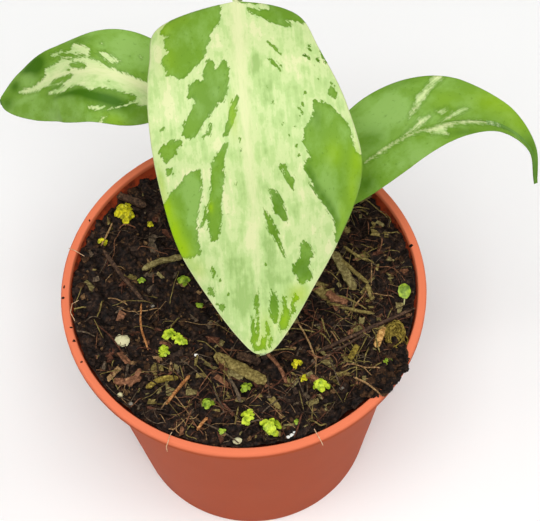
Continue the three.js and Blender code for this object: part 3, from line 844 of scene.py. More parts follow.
# the shade and the light of each tone: chalky and without gloss, mottled by its open pores
GRAIN_TONES = {
    "cream": ("#B9B184", "#E6E0B4"),
    "white": ("#D8D6CC", "#FAF9F4"),
    "grey": ("#6E675C", "#A29A8C"),
}

for tone, (shade, light) in GRAIN_TONES.items():
    perlite = new_material(f"perlite, puffed, {tone}", Roughness=0.8, Specular_IOR_Level=0.3)
    perlite_place = add_node(perlite, "TexCoord")
    perlite_pits = add_node(
        perlite, "TexNoise", {"Scale": 1 / (PIT_SIZE * MM), "Detail": 2},
        {"Vector": perlite_place.outputs["Object"]})
    perlite_colour = add_node(
        perlite, "Mix", {"data_type": "RGBA", UNDER: colour(shade), OVER: colour(light)},
        {SHARE: perlite_pits.outputs["Fac"]})
    dress(perlite, Base_Color=perlite_colour.outputs[MIXED])
    grain_shape = bmesh.new()
    for x, y, size, kind in GRAINS:
        if kind != tone:
            continue
        made = bmesh.ops.create_icosphere(grain_shape, subdivisions=2, radius=size)
        centre = Vector((x, y, crumbled(x, y) + 0.4 * size + 0.2))
        for corner in made["verts"]:
            pitted = 1 + 0.35 * noise.noise(corner.co * 2.2 / size + Vector((x, y, 0)))
            squashed = Vector((1.1 * corner.co.x, 0.9 * corner.co.y, 0.55 * corner.co.z))
            corner.co = centre + pitted * squashed
    grains = put(grain_shape, f"perlite_{tone}", [perlite], sharp=25)
    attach(grains, "root")

# Fine pale hairs: loose coir hairs and root hairs that hang over the lip at the front and
# cross the lip at the left, where the mix was pressed in.
HAIR_RADIUS = 0.1
HAIRS = [
    [(-17.6, -37.5, 79.2), (-18.3, -39.4, 80.5), (-18.8, -41.2, 80.4), (-19.2, -41.5, 79),
     (-19.1, -41.9, 77.2)],
    [(15.4, -39.2, 80.6), (16.2, -41, 80.7), (16.9, -42.2, 80), (17.3, -42.6, 78.6)],
    [(-40.6, -2, 79.4), (-42, -3.6, 80.6), (-42.3, -6, 80.8), (-41.2, -8, 79.6)],
    [(-39.5, 10.5, 79.2), (-41.8, 11.5, 80.6), (-43.3, 12.4, 80.2)],
]

thin_line("pale_hairs", HAIRS, woods["pale"], HAIR_RADIUS)

# The stem: a short fleshy green stem in a plain hole in the mix, with a ring of a leaf scar
# at each node. The front leaf's stalk stands on its top, and the other two rise close beside it.
STEM_PATH = [Vector(p) for p in ((4, 4, 56), (4.4, 5, 74), (5, 7, 90))]
STEM_RADII = [2.6, 3.1, 2.5]
STEM_NODES = [0.62, 0.8, 0.93]
STREAK_SIZE = 1.11
STREAK_STRETCH = 0.12
TUBE_STEPS = 96
TUBE_SIDES = 24

# moist skin over green flesh, with a satin gloss and faint pale streaks along its length
green_stem = new_material("fleshy green stem, smooth skin", Roughness=0.38, Specular_IOR_Level=0.5)
stem_place = add_node(green_stem, "TexCoord")
stem_stretch = add_node(
    green_stem, "Mapping", {"Scale": (1, 1, STREAK_STRETCH)}, {"Vector": stem_place.outputs["Object"]})
stem_streaks = add_node(
    green_stem, "TexNoise", {"Scale": 1 / (STREAK_SIZE * MM), "Detail": 3},
    {"Vector": stem_stretch.outputs["Vector"]})
stem_colour = add_node(
    green_stem, "Mix", {"data_type": "RGBA", UNDER: colour("#7FA644"), OVER: colour("#B9D084")},
    {SHARE: stem_streaks.outputs["Fac"]})
stem_relief = add_node(
    green_stem, "Bump", {"Strength": 0.2, "Distance": 0.1 * MM}, {"Height": stem_streaks.outputs["Fac"]})
dress(green_stem, Base_Color=stem_colour.outputs[MIXED], Normal=stem_relief.outputs["Normal"])


def fleshy_tube(points, radii, swell):
    """A round fleshy tube along points. swell gives the radius a factor at t."""
    def place(t, turn):
        centre = along(points, t)
        forward = heading(points, t)
        across = Vector((1, 0, 0)).cross(forward).normalized()
        up = forward.cross(across)
        angle = 2 * math.pi * turn
        radius = along(radii, t) * swell(t)
        return centre + radius * (across * math.cos(angle) + up * math.sin(angle))

    return rolled(TUBE_STEPS, TUBE_SIDES, place)


def scar_rings(t):
    """Narrow raised rings at the stem's nodes."""
    return 1 + sum(0.07 * math.exp(-((t - node) / 0.012) ** 2) for node in STEM_NODES)


stem = put(fleshy_tube(STEM_PATH, STEM_RADII, scar_rings), "green_stem", [green_stem])
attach(stem, "root")
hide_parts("stem")

# The leaf stalks: slender green petioles, each swollen where its sheath clasps the stem and
# again at the joint under its blade. They lean away from the stem and carry the blades, whose
# own numbers are here too: points and half widths in millimetres, and angles in degrees.
LEAVES = {
    "front": {
        "midrib": [(1.8, 31.4, 149.7), (2.4, 14.5, 147.8), (3.2, 0.6, 140),
                   (3.9, -9.5, 127.3), (3.9, -18.4, 113.7), (4.3, -29.1, 101)],
        "left": [1.6, 12.8, 17.1, 21.8, 23.9, 18.1, 10.7, 4.7, 0.5],
        "right": [1.6, 17.2, 19.6, 20.6, 19.9, 17, 10.5, 4.5, 0.5],
        "sky": (0, -0.5, 0.87), "fold": [6, 10, 10, 8, 6], "curl": 28, "wave": 0.9, "waves": 2.5,
        "stalk": [(5.1, 7.1, 90.4), (5.2, 11.4, 108), (3.8, 20, 127), (2.2, 27.9, 142.8),
                  (1.8, 29.9, 148.4)],
        "stalk_radii": [1.9, 1.5, 1.3, 1.2, 1.1],
        "rows": 260, "columns": 124,
    },
    "left": {
        "midrib": [(-14.4, 32.8, 113), (-23, 33.2, 120.5), (-32.8, 35.8, 122),
                   (-42, 39, 116), (-50, 41, 108.3), (-57.9, 43, 101)],
        "left": [1.4, 6, 10, 11.7, 12, 9.9, 6.5, 3.3, 0.5],
        "right": [1.4, 7.6, 10.6, 10.8, 7.9, 6.5, 4.5, 2, 0.5],
        "sky": (0, -0.45, 0.9), "fold": [8, 8, 8, 8], "curl": 24, "wave": 0.3, "waves": 2,
        "stalk": [(1.2, 8.6, 81), (-2.4, 15, 92), (-8, 24, 103), (-12.4, 30.6, 110.6),
                  (-14.1, 32.7, 112.7)],
        "stalk_radii": [1.5, 1.3, 1.1, 1, 0.95],
        "rows": 170, "columns": 84,
    },
    "right": {
        "midrib": [(20.7, 4.8, 109), (27.5, 9.4, 115.5), (35, 13, 120), (43, 15.7, 121.5),
                   (52.2, 18.7, 119.5), (62.2, 21.3, 113), (69.9, 20.3, 104), (72.1, 17.4, 94)],
        "left": [1.4, 6.4, 10.1, 12.2, 11.3, 5.6, 1.7, 0.8, 0.5],
        "right": [1.4, 4.4, 6.9, 7.4, 4.8, 2, 0.6, 0.5, 0.5],
        "sky": (0, -0.3, 0.95), "fold": [10, 14, 20, 32, 38], "curl": 20, "wave": 0.3, "waves": 2,
        "stalk": [(9.3, 5.1, 79), (12, 4.2, 89), (15.8, 4, 99), (19, 4.3, 106), (20.4, 4.7, 108.7)],
        "stalk_radii": [1.5, 1.3, 1.1, 1, 0.95],
        "rows": 210, "columns": 70,
    },
}


def sheath_and_joint(t):
    """The sheath at the foot and the joint under the blade."""
    return 1 + 0.18 * math.exp(-(t / 0.12) ** 2) + 0.16 * math.exp(-((t - 0.93) / 0.04) ** 2)


for side, leaf in LEAVES.items():
    stalk_points = [Vector(p) for p in leaf["stalk"]]
    stalk_shape = fleshy_tube(stalk_points, leaf["stalk_radii"], sheath_and_joint)
    stalk = put(stalk_shape, f"petiole_{side}", [green_stem])
    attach(stalk, "root")
    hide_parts(f"leaf_stalk_{side}")

# The blades: leathery oval leaves, 0.7 mm thick with a thinner edge, grown curved over the
# midrib. Cells without green make the cream parts, which run out along the side veins.
BLADE_THICKNESS = 0.7
RIB_THICKNESS = 1.5
EDGE_THICKNESS = 0.35
EDGE_TAPER = 0.5
RIB_HALF_WIDTH = 1.3
RIB_RELIEF = 0.2
VEIN_PITCH = 4.2
VEIN_RELIEF = 0.014
VEIN_LEAN = 1
VEIN_LEAN_ADDED = 2.6
VEIN_ROUNDS = 12
BLISTER_RELIEF = 0.06
PORES_PER_MM = 3
MIDRIB_STEPS = 200
FIELD_REACH = 6
CORNER_CUT = 0.12
FLECK_STRETCH = 1.4
RIB_BAND = 1.9
RIB_BAND_NARROWS = 1.2
PALE_MARGIN = 0.3
# for each blade its ground and the patches on it: outlines in millimetres along the midrib and
# off it, positive to the right, painted one over the other
PATCHES = {
    "front": ("cream", [
        ("green", [(0.2, 3.3), (2.6, 3.4), (5, 3.9), (6.3, 5.1), (8.8, 6.1), (11.3, 7.1), (12.8, 7.3),
                   (14.9, 9.6), (17.4, 12.6), (16.4, 14.3), (15.8, 16), (14, 15.8), (12.6, 16.9),
                   (11, 16.8), (10.4, 15.1), (8.6, 15.9), (7, 16.1), (6.2, 14.8), (5.8, 16), (4.5, 17),
                   (2, 14.5), (-1, 9), (-1, 5)]),
        ("green", [(13.8, 3.1), (16.2, 2.6), (18, 2.7), (20.3, 3.3), (22.4, 4), (23, 5.2), (25.3, 7.3),
                   (27.1, 8.9), (29, 10.2), (30.4, 12.4), (29.1, 13.7), (27.8, 13.3), (25.9, 12.6),
                   (23.5, 11.1), (21.6, 10), (21.3, 11.7), (18.8, 11.1), (17.8, 9.6), (17.9, 8.4),
                   (15.9, 7.9), (13.7, 7.1), (13.3, 6.2), (14.2, 5.6), (16, 5.6), (14.9, 4.5)]),
        ("green", [(29.7, 14.5), (30.5, 13.5), (31.3, 14.1), (32, 15.2), (33.3, 15.6), (34.3, 17.3),
                   (35.2, 18), (33.9, 18.4), (32.4, 19), (31.4, 18.8), (30.5, 17)]),
        ("green", [(36, 17.6), (36.2, 16.6), (37.4, 16.7), (38.1, 17.6), (36.8, 18)]),
        ("green", [(21.6, 1.4), (22.5, 1), (24.7, 1.7), (27.2, 2.6), (30.2, 4.4), (29.8, 4.9),
                   (28.2, 4.3), (25.3, 3.4), (22.9, 2.5)]),
        ("green", [(31.3, 4.2), (33.8, 4.9), (35.6, 5.4), (38.2, 5.8), (40.6, 6.1), (45, 7), (48.2, 7.1),
                   (50, 7.3), (52.6, 7.9), (54.2, 8.9), (54.2, 9.7), (52.4, 9.8), (50.3, 10.2),
                   (47.6, 10.1), (45, 9.7), (41.8, 8.9), (39.4, 8.8), (36.6, 8.5), (35, 7.6),
                   (33.8, 6.7)]),
        ("green", [(36.5, 10.5), (39.4, 10.6), (42.9, 10.8), (45.6, 11.7), (48.2, 12.3), (51.8, 12.4),
                   (54.7, 12.4), (56.5, 12.1), (57.6, 12.3), (58, 13.2), (58.8, 14.9), (59, 18),
                   (52, 20.5), (46, 21), (44.5, 19.2), (42.1, 17.9), (41.2, 16.6), (39.7, 14.9),
                   (37.9, 14.2), (37.2, 11.7)]),
        ("green", [(45, 10.3), (47.6, 10.9), (50.5, 11.9), (50.4, 11.3), (47.8, 10.3), (45.5, 9.9)]),
        ("green", [(1.7, -2.4), (2.4, -5), (2.4, -7), (0.8, -7), (-1, -7.3), (0.5, -12), (2.5, -16),
                   (5.3, -16.5), (5.9, -13.7), (5.2, -11.7), (5.2, -10), (6.6, -11.6), (7.1, -10.7),
                   (6.6, -9.8), (5.9, -7.2), (4.3, -5.1), (4, -4.1), (3.1, -3.3), (2.6, -2.4)]),
        ("green", [(-1, -0.3), (-1, -6), (0.8, -4.8), (0.5, -0.8)]),
        ("green", [(10.3, -5.7), (11.3, -7.5), (13.8, -9.4), (13.3, -8.6), (11.9, -7.1), (10.8, -6)]),
        ("green", [(14, -5.4), (15.2, -6.3), (16, -6.9), (17.4, -8.4), (17, -8.9), (15.5, -7.9),
                   (14.5, -6.6)]),
        ("green", [(13.4, -13.4), (13.9, -13.2), (14.2, -13.8), (13.7, -14.1)]),
        ("green", [(11, -14.6), (12.6, -14.8), (12.9, -15.3), (11.4, -15.2)]),
        ("green", [(14.4, -16.1), (15.7, -16.2), (15.8, -16.8), (14.6, -16.6)]),
        ("green", [(12, -17), (14, -17.5), (16, -18), (16, -19.5), (12.5, -18.5)]),
        ("green", [(20.6, -18.9), (22, -19.6), (23.5, -19.9), (24.3, -19.2), (23.2, -18), (21.8, -18.2)]),
        ("green", [(24, -14.8), (25.3, -17.4), (26.5, -19.2), (28.8, -20.8), (30.6, -21.9),
                   (34.4, -22.4), (36.5, -22.9), (38, -25.5), (48, -25.5), (57, -20.5), (57, -17.4),
                   (53.2, -17.4), (51.5, -17.1), (49.1, -16), (46.8, -14.9), (43.5, -13), (40, -12),
                   (38.5, -11.3), (36.9, -11.6), (36.6, -13), (35, -12.6), (32.9, -11.7), (32.1, -12),
                   (29.7, -12.3), (28.8, -13.3), (27.6, -13.9), (27.1, -14.6), (25.6, -14.4)]),
        ("green", [(37.5, -5.9), (36.9, -6.9), (37.9, -7.9), (39.7, -8.3), (40, -9.2), (41.8, -9),
                   (43, -8.8), (41.8, -7.9), (40.3, -7.3), (38.6, -6.5)]),
        ("cream", [(38, -6.7), (38.4, -7.4), (39.2, -7.6), (38.7, -7)]),
        ("green", [(42.2, -3.5), (42.9, -5.1), (44.4, -6), (46.8, -6.6), (50.5, -7.2), (49.1, -5.6),
                   (48.2, -4.7), (47.1, -4), (45.6, -4.3), (43.5, -3.8)]),
        ("green", [(46.7, -2.2), (49.1, -3.6), (52.6, -4.9), (55.9, -5.8), (59.2, -6.4), (57.4, -5.5),
                   (55.3, -4.8), (54.1, -4.1), (52.4, -3), (51.2, -2.5), (49.7, -2.6), (47.9, -2.2)]),
        ("green", [(54.8, -10.1), (56, -11.1), (58.8, -12.5), (60, -11.6), (61.8, -11.4), (63.5, -12.1),
                   (65.4, -12), (65.6, -10.7), (66.3, -10), (65.9, -8.9), (64.7, -8.8), (62.6, -7.7),
                   (61.6, -7.5), (60, -8.8), (58.8, -9.5), (56.5, -9.6)]),
        ("green", [(66.3, -0.1), (68, 0.2), (68.5, 1), (71, 1.1), (72.4, 0.7), (70.5, 0), (68.5, 0)]),
        ("green", [(72.6, 1.9), (76, 2.2), (79, 2), (78.5, 0.9), (75.5, 1.2)]),
        ("green", [(66.5, -2.9), (68.2, -3.9), (70.6, -4.2), (75, -3.9), (75.2, -3.1), (73.2, -2.3),
                   (71.2, -2.2), (68.8, -2.7)]),
        ("green", [(68.6, -5.3), (69, -6.1), (71.2, -5.9), (72.2, -6.5), (73.8, -6.8), (76.5, -6),
                   (77.4, -4.2), (75.3, -3.9), (73.2, -4.9), (71.8, -5.2), (70, -5)]),
        ("green", [(68.2, -8), (69.7, -8.8), (70.8, -7.7), (72.8, -8), (73.4, -7), (71, -6.9)]),
        ("green", [(78.6, 2.6), (77.6, 0.4), (78.4, -0.4), (77, -1.8), (79, -2.4), (81, -1.8),
                   (81.3, 1.6)]),
        ("green", [(74, -1.5), (76, -1.9), (77.8, -1.8), (77, -1.1)]),
        ("green", [(71.5, 0.6), (75, 1), (78.5, 0.9), (78.5, 0.3), (75, 0.4), (72, 0.2)]),
        ("cream", [(77.6, -1.2), (79.4, -1.1), (81, -0.7), (81, -1), (79.4, -1.5), (78, -1.5)]),
        ("green", [(65.5, 10.4), (67, 9.7), (68.5, 9.8), (68, 10.8), (66.5, 11.1)]),
        ("green", [(70.2, 9.6), (69.9, 8.1), (70.9, 7.5), (71.9, 8.3)]),
        ("green", [(27, 7.2), (28.3, 7.7), (30.2, 9.3), (29.6, 8), (28.4, 7.3)]),
        ("green", [(26.9, 17), (27.2, 18), (28.6, 18.3), (27.6, 17.6)]),
        ("green", [(32.9, 1.5), (33.7, 1.4), (33.8, 1.8), (33, 1.9)]),
        ("green", [(60.3, 9.8), (62, 8.9), (64.3, 9.5), (63, 10)]),
        ("cream", [(75.5, -0.2), (77.5, 0.6), (79.9, 1.3), (80.4, 0.7), (78.4, -0.1)]),
        ("cream", [(76.4, -2.7), (78.6, -1.4), (80.4, -0.6), (80.2, -1.2), (78, -2.2)]),
    ]),
    "left": ("green", [
        ("cream", [(-2, -5), (5, -4.3), (9.2, -4.9), (9.6, -3.2), (13.4, -3.6), (15.4, -3.5),
                   (18.2, -3.9), (19.6, -4.3), (22.4, -5), (24.1, -4.2), (25.2, -3.6), (28, -3.8),
                   (31, -4.2), (33.6, -4.3), (38.2, -3.4), (37, -2.8), (33.6, -3.1), (30.8, -2.8),
                   (30.8, -2.5), (35.5, -1.9), (36.8, -1.7), (40.6, -1.6), (43.7, -1.2), (46.2, -0.5),
                   (48.5, 0.2), (47, 0.8), (42, 0.2), (39.2, 0.6), (37, 0.8), (36.7, 1.8), (35.8, 2.9),
                   (34.4, 2.7), (33, 2.9), (31.3, 3.6), (29.1, 3.4), (27.1, 3.1), (24.3, 3.3),
                   (22.9, 3), (21.3, 2.5), (20.4, 2.4), (19.6, 1.8), (16.8, 1.5), (14, 1.2), (8.1, 1),
                   (-2, 1.5)]),
        ("cream", [(22.8, 2.8), (22.8, 3.6), (23.1, 4.9), (24.6, 5.8), (26.9, 6.7), (28.3, 6.4),
                   (28, 5.3), (29.7, 4.9), (30.8, 5.7), (33, 5.8), (34.8, 5.6), (34, 4.3), (31.4, 4.5),
                   (31.2, 3.5), (27, 3)]),
        ("cream", [(16, 2.7), (16, 3.4), (18, 4.2), (20.3, 4.6), (21.2, 4.1), (20, 3.1), (18, 2.4)]),
        ("cream", [(9.8, -4.7), (12, -6.7), (15.4, -8.4), (14.8, -7.5), (12, -6), (10, -4.1)]),
        ("cream", [(15.1, -8.9), (16.2, -9.8), (17.6, -12.2), (16.2, -12), (15.6, -10.5)]),
        ("cream", [(16.3, -7.7), (19.5, -7.9), (22.3, -8.4), (21.5, -9.4), (19.5, -9.2), (17, -8.5)]),
        ("cream", [(11.3, 5.6), (11.9, 5.7), (11.8, 6.2)]),
        ("cream", [(20.4, 6.2), (20.9, 6.3), (20.8, 6.9)]),
        ("green", [(27.6, -1.1), (30.2, -1.9), (33, -1.7), (35.8, -1.7), (33.2, -0.8), (30.5, -0.7),
                   (28.2, -0.8)]),
        ("green", [(23.8, 3.5), (27, 3.9), (31, 4.9), (31.5, 4.4), (27, 3.4)]),
        ("green", [(23.6, 1.1), (24.5, 1.8), (28.4, 2.2), (28.2, 1.4), (26, 0.7), (24.5, 0.6)]),
        ("green", [(21.2, 3), (21.1, 3.9), (22.5, 4.4), (23, 3.5), (22.3, 2.7)]),
    ]),
    "right": ("green", [
        ("cream", [(28.2, -3.2), (29.5, -3.8), (32.2, -5.2), (34.1, -6.5), (35.6, -8), (38.7, -9.8),
                   (39.5, -12), (36.5, -11), (35.3, -9.9), (33.3, -8.4), (32, -8.2), (31.3, -6.9),
                   (30, -5.5), (28.6, -4.4)]),
        ("cream", [(13, 0), (13, 0.6), (18, 1.1), (20, 1.2), (26, 0.9), (30, 0.9), (31.2, 0.8),
                   (31.8, 2), (34.4, 2.6), (36, 3.6), (37, 3.3), (36.5, 2.3), (37.5, 1.9), (37.2, 1.2),
                   (38.4, 1.5), (42, 1.3), (47, 1.1), (50, 0.9), (52.8, 0.4), (50, -0.3), (45, -0.4),
                   (40, -0.2), (33.3, 0.1), (28, 0), (20, 0.1)]),
        ("cream", [(24.5, 0), (27, -1), (29, -1.5), (30.8, -3), (33.5, -2.9), (34.5, -2.4), (32.5, -1.1),
                   (30, -0.4), (28, 0.1)]),
        ("cream", [(35, -3.2), (36.7, -1.9), (38.3, -2.7), (38.7, -3.6), (37, -3.6)]),
        ("cream", [(35, -0.2), (38, -0.8), (40.5, -1.2), (43.7, -2.6), (42.3, -3.4), (39.3, -2.5),
                   (36.3, -1)]),
    ]),
}
# small green flecks in the pale parts: a place and a size
FLECKS = {
    "front": [
        (22.6, -12.9, 0.35), (25, -12.3, 0.45), (25.7, -11.4, 0.3), (26.6, -11.9, 0.4),
        (27.9, -11.3, 0.3), (29.4, -10.2, 0.35), (31, -9.1, 0.3), (33.5, -10.2, 0.3),
        (35.5, -10.6, 0.3), (28.8, -7.8, 0.25), (14.6, -14.6, 0.35), (16.6, -15.4, 0.3),
        (19.5, -16.2, 0.25), (40.5, 3.4, 0.25), (24, -6.2, 0.3), (20.5, -5.4, 0.25), (31, 1.7, 0.35),
        (60.5, -1.8, 0.3), (67.5, 6.5, 0.3), (64, 8.2, 0.25),
    ],
    "left": [(14, 3.2, 0.3), (17, -2, 0.25), (29, 0.6, 0.25), (36, 5, 0.3)],
    "right": [(22, 0.6, 0.2), (33, 1.6, 0.25), (40, 0.5, 0.2)],
}
# soft ovals: a place, a reach along and across, and a strength from deep green to lime.
# # Some are painted light and shade: deep green where a blade lies in shade, lime where it is lit
TINTS_LIGHT_AND_SHADE = {
    "front": [
        (46, 19, 3, 1.5, 0.9), (52, 17.6, 4.5, 1.7, 0.95), (57, 15.8, 3.5, 1.9, 0.9),
        (4, 16, 3, 2, 0.4), (12, 15.5, 4, 2, 0.3), (2, 12, 2, 2, 0.25), (26, 2.6, 4, 1, 0.7),
        (45.5, 9.2, 1.5, 0.6, 0.8), (38, -23, 4, 1.6, 0.55), (45, -21.5, 5, 1.2, 0.55),
        (51, -19, 4, 1.2, 0.4), (36, -18, 3, 2, 0.45), (38.8, -12.3, 1.5, 0.8, -0.6),
        (41, -13, 1.5, 0.8, -0.7), (43.3, -13.8, 1.5, 0.8, -0.7), (45.3, -14.9, 1.5, 0.8, -0.7),
        (47.2, -15.9, 1.5, 0.8, -0.7), (49.2, -16.8, 1.5, 0.8, -0.7), (51.3, -17.8, 1.5, 0.8, -0.6),
        (28, -15, 2.5, 1.2, -0.4), (62.5, -10, 3.5, 3, -0.55), (74.5, -5.3, 3, 1.8, 0.7),
        (70, -3.4, 4, 1, -0.4), (79.5, 0, 2.5, 2.5, 0.6), (75, -1, 3, 2, 0.45),
        (46.5, -5.4, 5, 1.6, -0.5), (22, 7, 7, 4, -0.2), (4, -10, 3, 5, -0.2), (62, 13, 3, 1.8, 0.5),
        (68.5, -9, 3, 2.4, 1), (32.5, 17, 2, 2, 0.1), (40, 19.5, 4, 1, 0.8), (53, -4, 3, 0.8, -0.35),
        (33.3, 1.6, 1, 1, -1), (13.7, -13.6, 1, 1, -1), (15.2, -16.5, 1, 0.8, -0.7),
        (12, -15, 1, 0.8, -0.5),
    ],
    "left": [
        (14, -6, 5, 1.6, -1), (21, -6, 5, 1.3, -1), (26, -5, 4, 0.9, -0.9), (32, -4.9, 4, 0.6, -0.7),
        (38.8, 4.4, 3, 2.4, -1.4), (43, 4.6, 3, 1, -0.9), (48.8, 2, 2.2, 1.4, -0.9),
        (53.5, -1, 3, 1.8, -0.7), (26, 7.2, 3, 1, -0.4), (13, -10, 4, 1.5, 0.4),
        (33, -2.7, 3, 0.3, -0.6),
    ],
    "right": [
        (62, -1, 4, 2, -0.5), (70, 0, 5, 2, -0.6), (30, -11.8, 6, 1.2, -0.35), (18, -3, 4, 3, -0.4),
        (10, 4, 3, 2, -0.7), (41, 3, 4, 0.9, -0.5), (50, -5, 6, 3, 0.55), (57, -2, 4, 2, 0.35),
        (38, -5.5, 3, 2, 0.2),
    ],
}
# the same, with a strength from grey-green to pale yellow cream. Some are painted sheen and
# # light: paler where a blade catches the light
WASHES_AND_SHEEN = {
    "front": [
        (15, -12, 1.4, 2.6, 0.8), (19, -12, 2.2, 0.8, 1), (8, -4, 3, 2.2, 0.6),
        (9.5, 17.4, 3, 1.2, 0.8), (22, 16.3, 3.5, 2, 0.6), (31.5, 6, 1.5, 1.5, 0.6),
        (45, 6, 6, 0.8, 0.8), (38.5, 17.8, 2.5, 0.8, 0.7), (54, 1, 5, 1.4, 0.8), (57.8, -16, 1.4, 1, 1),
        (54.5, -6, 3.5, 0.5, 0.7), (46, -10.5, 4.5, 1.4, 0.35), (15, -3.2, 3, 1.2, -0.9),
        (21, -5, 4, 1.5, -0.7), (25, -11, 4, 2, -0.6), (43, 2.5, 5, 1, -0.4), (56, -3.2, 4, 1.6, -0.9),
        (59, 4.5, 4, 2, -0.7), (66, 4, 5, 3, -0.7), (63, -3, 4, 1.5, -0.8), (71, 3, 5, 2.5, -0.5),
        (70, -1.5, 4, 1, -0.6), (48, -9, 3, 0.8, -0.3), (66, -6, 4, 1.5, -0.6), (40, 13, 4, 2.2, 0.9),
        (47, 13, 5, 1.5, 0.8), (43, -16, 5, 2.5, 0.8), (50, -18.5, 3, 1.2, 0.6), (9, 6, 8, 2.5, 0.4),
        (20, 5, 3, 2, 0.3), (55, -14.5, 4, 1.5, 0.3),
    ],
    "left": [
        (44, 2.4, 3.5, 1.5, 0.8), (46.5, -2, 4.5, 0.9, 0.9), (38, -7.5, 10, 3, 0.3),
        (22, -10.5, 6, 2, 0.35), (13, 7, 8, 4, 0.8), (24, 9, 6, 2, 0.3), (12, -1, 5, 2, -0.3),
        (30, 4.5, 3, 2, -0.2),
    ],
    "right": [(23, -7, 6, 3.5, 1.2), (46, -2.5, 6, 2, 0.3), (26, 5, 7, 2, 0.7), (34, -1.5, 3, 2, 0.3)],
}
# the depth at which the green has faded out, in millimetres: below 0 is in the pale parts
EDGE_BLUR = {"front": -0.08, "left": -0.35, "right": -0.9}


def rounded(outline):
    """An outline with its corners cut a little."""
    cut = []
    for here, after in zip(outline, outline[1:] + outline[:1]):
        for share in (CORNER_CUT, 1 - CORNER_CUT):
            cut.append(tuple((1 - share) * a + share * b for a, b in zip(here, after)))
    return cut


def depth_inside(spots, outline):
    """How far each spot lies inside an outline, negative outside."""
    nearest = numpy.full(len(spots), 1e9)
    inside = numpy.zeros(len(spots), bool)
    corners = numpy.array(rounded(outline))
    for here, after in zip(corners, numpy.roll(corners, -1, axis=0)):
        side = after - here
        off = spots - here
        share = numpy.clip(off @ side / max(side @ side, 1e-9), 0, 1)
        nearest = numpy.minimum(nearest, numpy.linalg.norm(off - share[:, None] * side, axis=1))
        crosses = (here[1] > spots[:, 1]) != (after[1] > spots[:, 1])
        meets = side[0] * off[:, 1] / (side[1] if side[1] else 1e-9) + here[0]
        inside ^= crosses & (spots[:, 0] < meets)
    return numpy.where(inside, nearest, -nearest)


def vein_start(reach, off):
    """Where on the midrib the side vein through a place starts. Veins lean further to the tip."""
    start = reach
    for _ in range(VEIN_ROUNDS):
        share = min(max(start, 0), 1)
        lean = VEIN_LEAN + VEIN_LEAN_ADDED * share ** 0.8
        start = 0.5 * start + 0.5 * (reach - abs(off) * lean)
    return start


def blade(leaf):
    """One blade's upper face: its shape, and each corner's place, vein and thickness."""
    rows, columns = leaf["rows"], leaf["columns"]
    midrib = [Vector(p) for p in leaf["midrib"]]
    stops = [along(midrib, step / MIDRIB_STEPS) for step in range(MIDRIB_STEPS + 1)]
    length = sum((after - here).length for here, after in zip(stops, stops[1:]))
    sky = Vector(leaf["sky"])
    curl = math.radians(leaf["curl"])
    lines = []
    for row in range(rows + 1):
        u = row / rows
        t = (1 - math.cos(math.pi * u)) / 2
        forward = heading(midrib, t)
        across = forward.cross(sky).normalized()
        lines.append((
            u, t, along(midrib, t), across, across.cross(forward),
            math.radians(along(leaf["fold"], t)), along(leaf["left"], u), along(leaf["right"], u)))
    shape = bmesh.new()
    bmesh.ops.create_grid(shape, x_segments=rows, y_segments=columns, size=0.5)
    bmesh.ops.reverse_faces(shape, faces=shape.faces)
    facts = []
    for corner in shape.verts:
        u, t, centre, across, up, fold, left, right = lines[round((corner.co.x + 0.5) * rows)]
        v = 2 * corner.co.y
        side = 1 if v >= 0 else -1
        width = right if v >= 0 else left
        reach = abs(v)
        bent = fold - curl * reach
        out = width * (math.sin(fold) - math.sin(bent)) / curl
        lift = width * (math.cos(bent) - math.cos(fold)) / curl
        phase = 0.55 if v >= 0 else 0.1
        ripple = leaf["wave"] * v ** 2 * math.sin(2 * math.pi * (leaf["waves"] * t + phase))
        ripple *= math.sin(math.pi * u)
        off = v * width
        start = vein_start(t, off / length) * length
        rib_width = RIB_HALF_WIDTH * (1 - 0.7 * t) + 0.1
        rib = math.exp(-(off / rib_width) ** 2)
        quiet = min(1, abs(off) / 2) * min(1, (1 - reach) * 4)
        uneven = 0.9 * noise.noise(Vector((start / 7, side, 0)))
        relief = RIB_RELIEF * (1 - t) * rib
        relief += VEIN_RELIEF * quiet * math.cos(2 * math.pi * (start / VEIN_PITCH + uneven))
        relief += BLISTER_RELIEF * quiet * noise.noise(Vector((t * length / 5, off / 3, side)))
        normal = up * math.cos(bent) - side * across * math.sin(bent)
        corner.co = (
            centre + side * out * across + (lift + ripple) * up
            + (BLADE_THICKNESS / 2 + relief) * normal)
        edge = (1 - reach) * width
        thickness = BLADE_THICKNESS + (RIB_THICKNESS - BLADE_THICKNESS) * rib * (1 - 0.8 * t)
        thickness -= (thickness - EDGE_THICKNESS) * math.exp(-edge / EDGE_TAPER)
        facts.append((t * length, off, start, edge, thickness / RIB_THICKNESS))
    return shape, numpy.array(facts)


def painted(side, facts):
    """How deep each corner lies in a green patch, in millimetres, negative in cream."""
    ground, patches = PATCHES[side]
    field = numpy.full(len(facts), FIELD_REACH if ground == "green" else -FIELD_REACH, float)
    for paint, outline in patches:
        depth = depth_inside(facts[:, :2], outline)
        field = numpy.maximum(field, depth) if paint == "green" else numpy.minimum(field, -depth)
    for reach, off, size in FLECKS[side]:
        away = numpy.hypot(facts[:, 0] - reach, FLECK_STRETCH * (facts[:, 1] - off))
        field = numpy.maximum(field, size - away)
    return numpy.clip(field, -FIELD_REACH, FIELD_REACH)


def soft_ovals(facts, ovals):
    """The sum of soft ovals over the blade, from -1 to 1."""
    total = numpy.zeros(len(facts))
    for along_it, off, reach, width, strength in ovals:
        near = ((facts[:, 0] - along_it) / reach) ** 2 + ((facts[:, 1] - off) / width) ** 2
        total += strength * numpy.exp(-near)
    return numpy.clip(total, -1, 1)


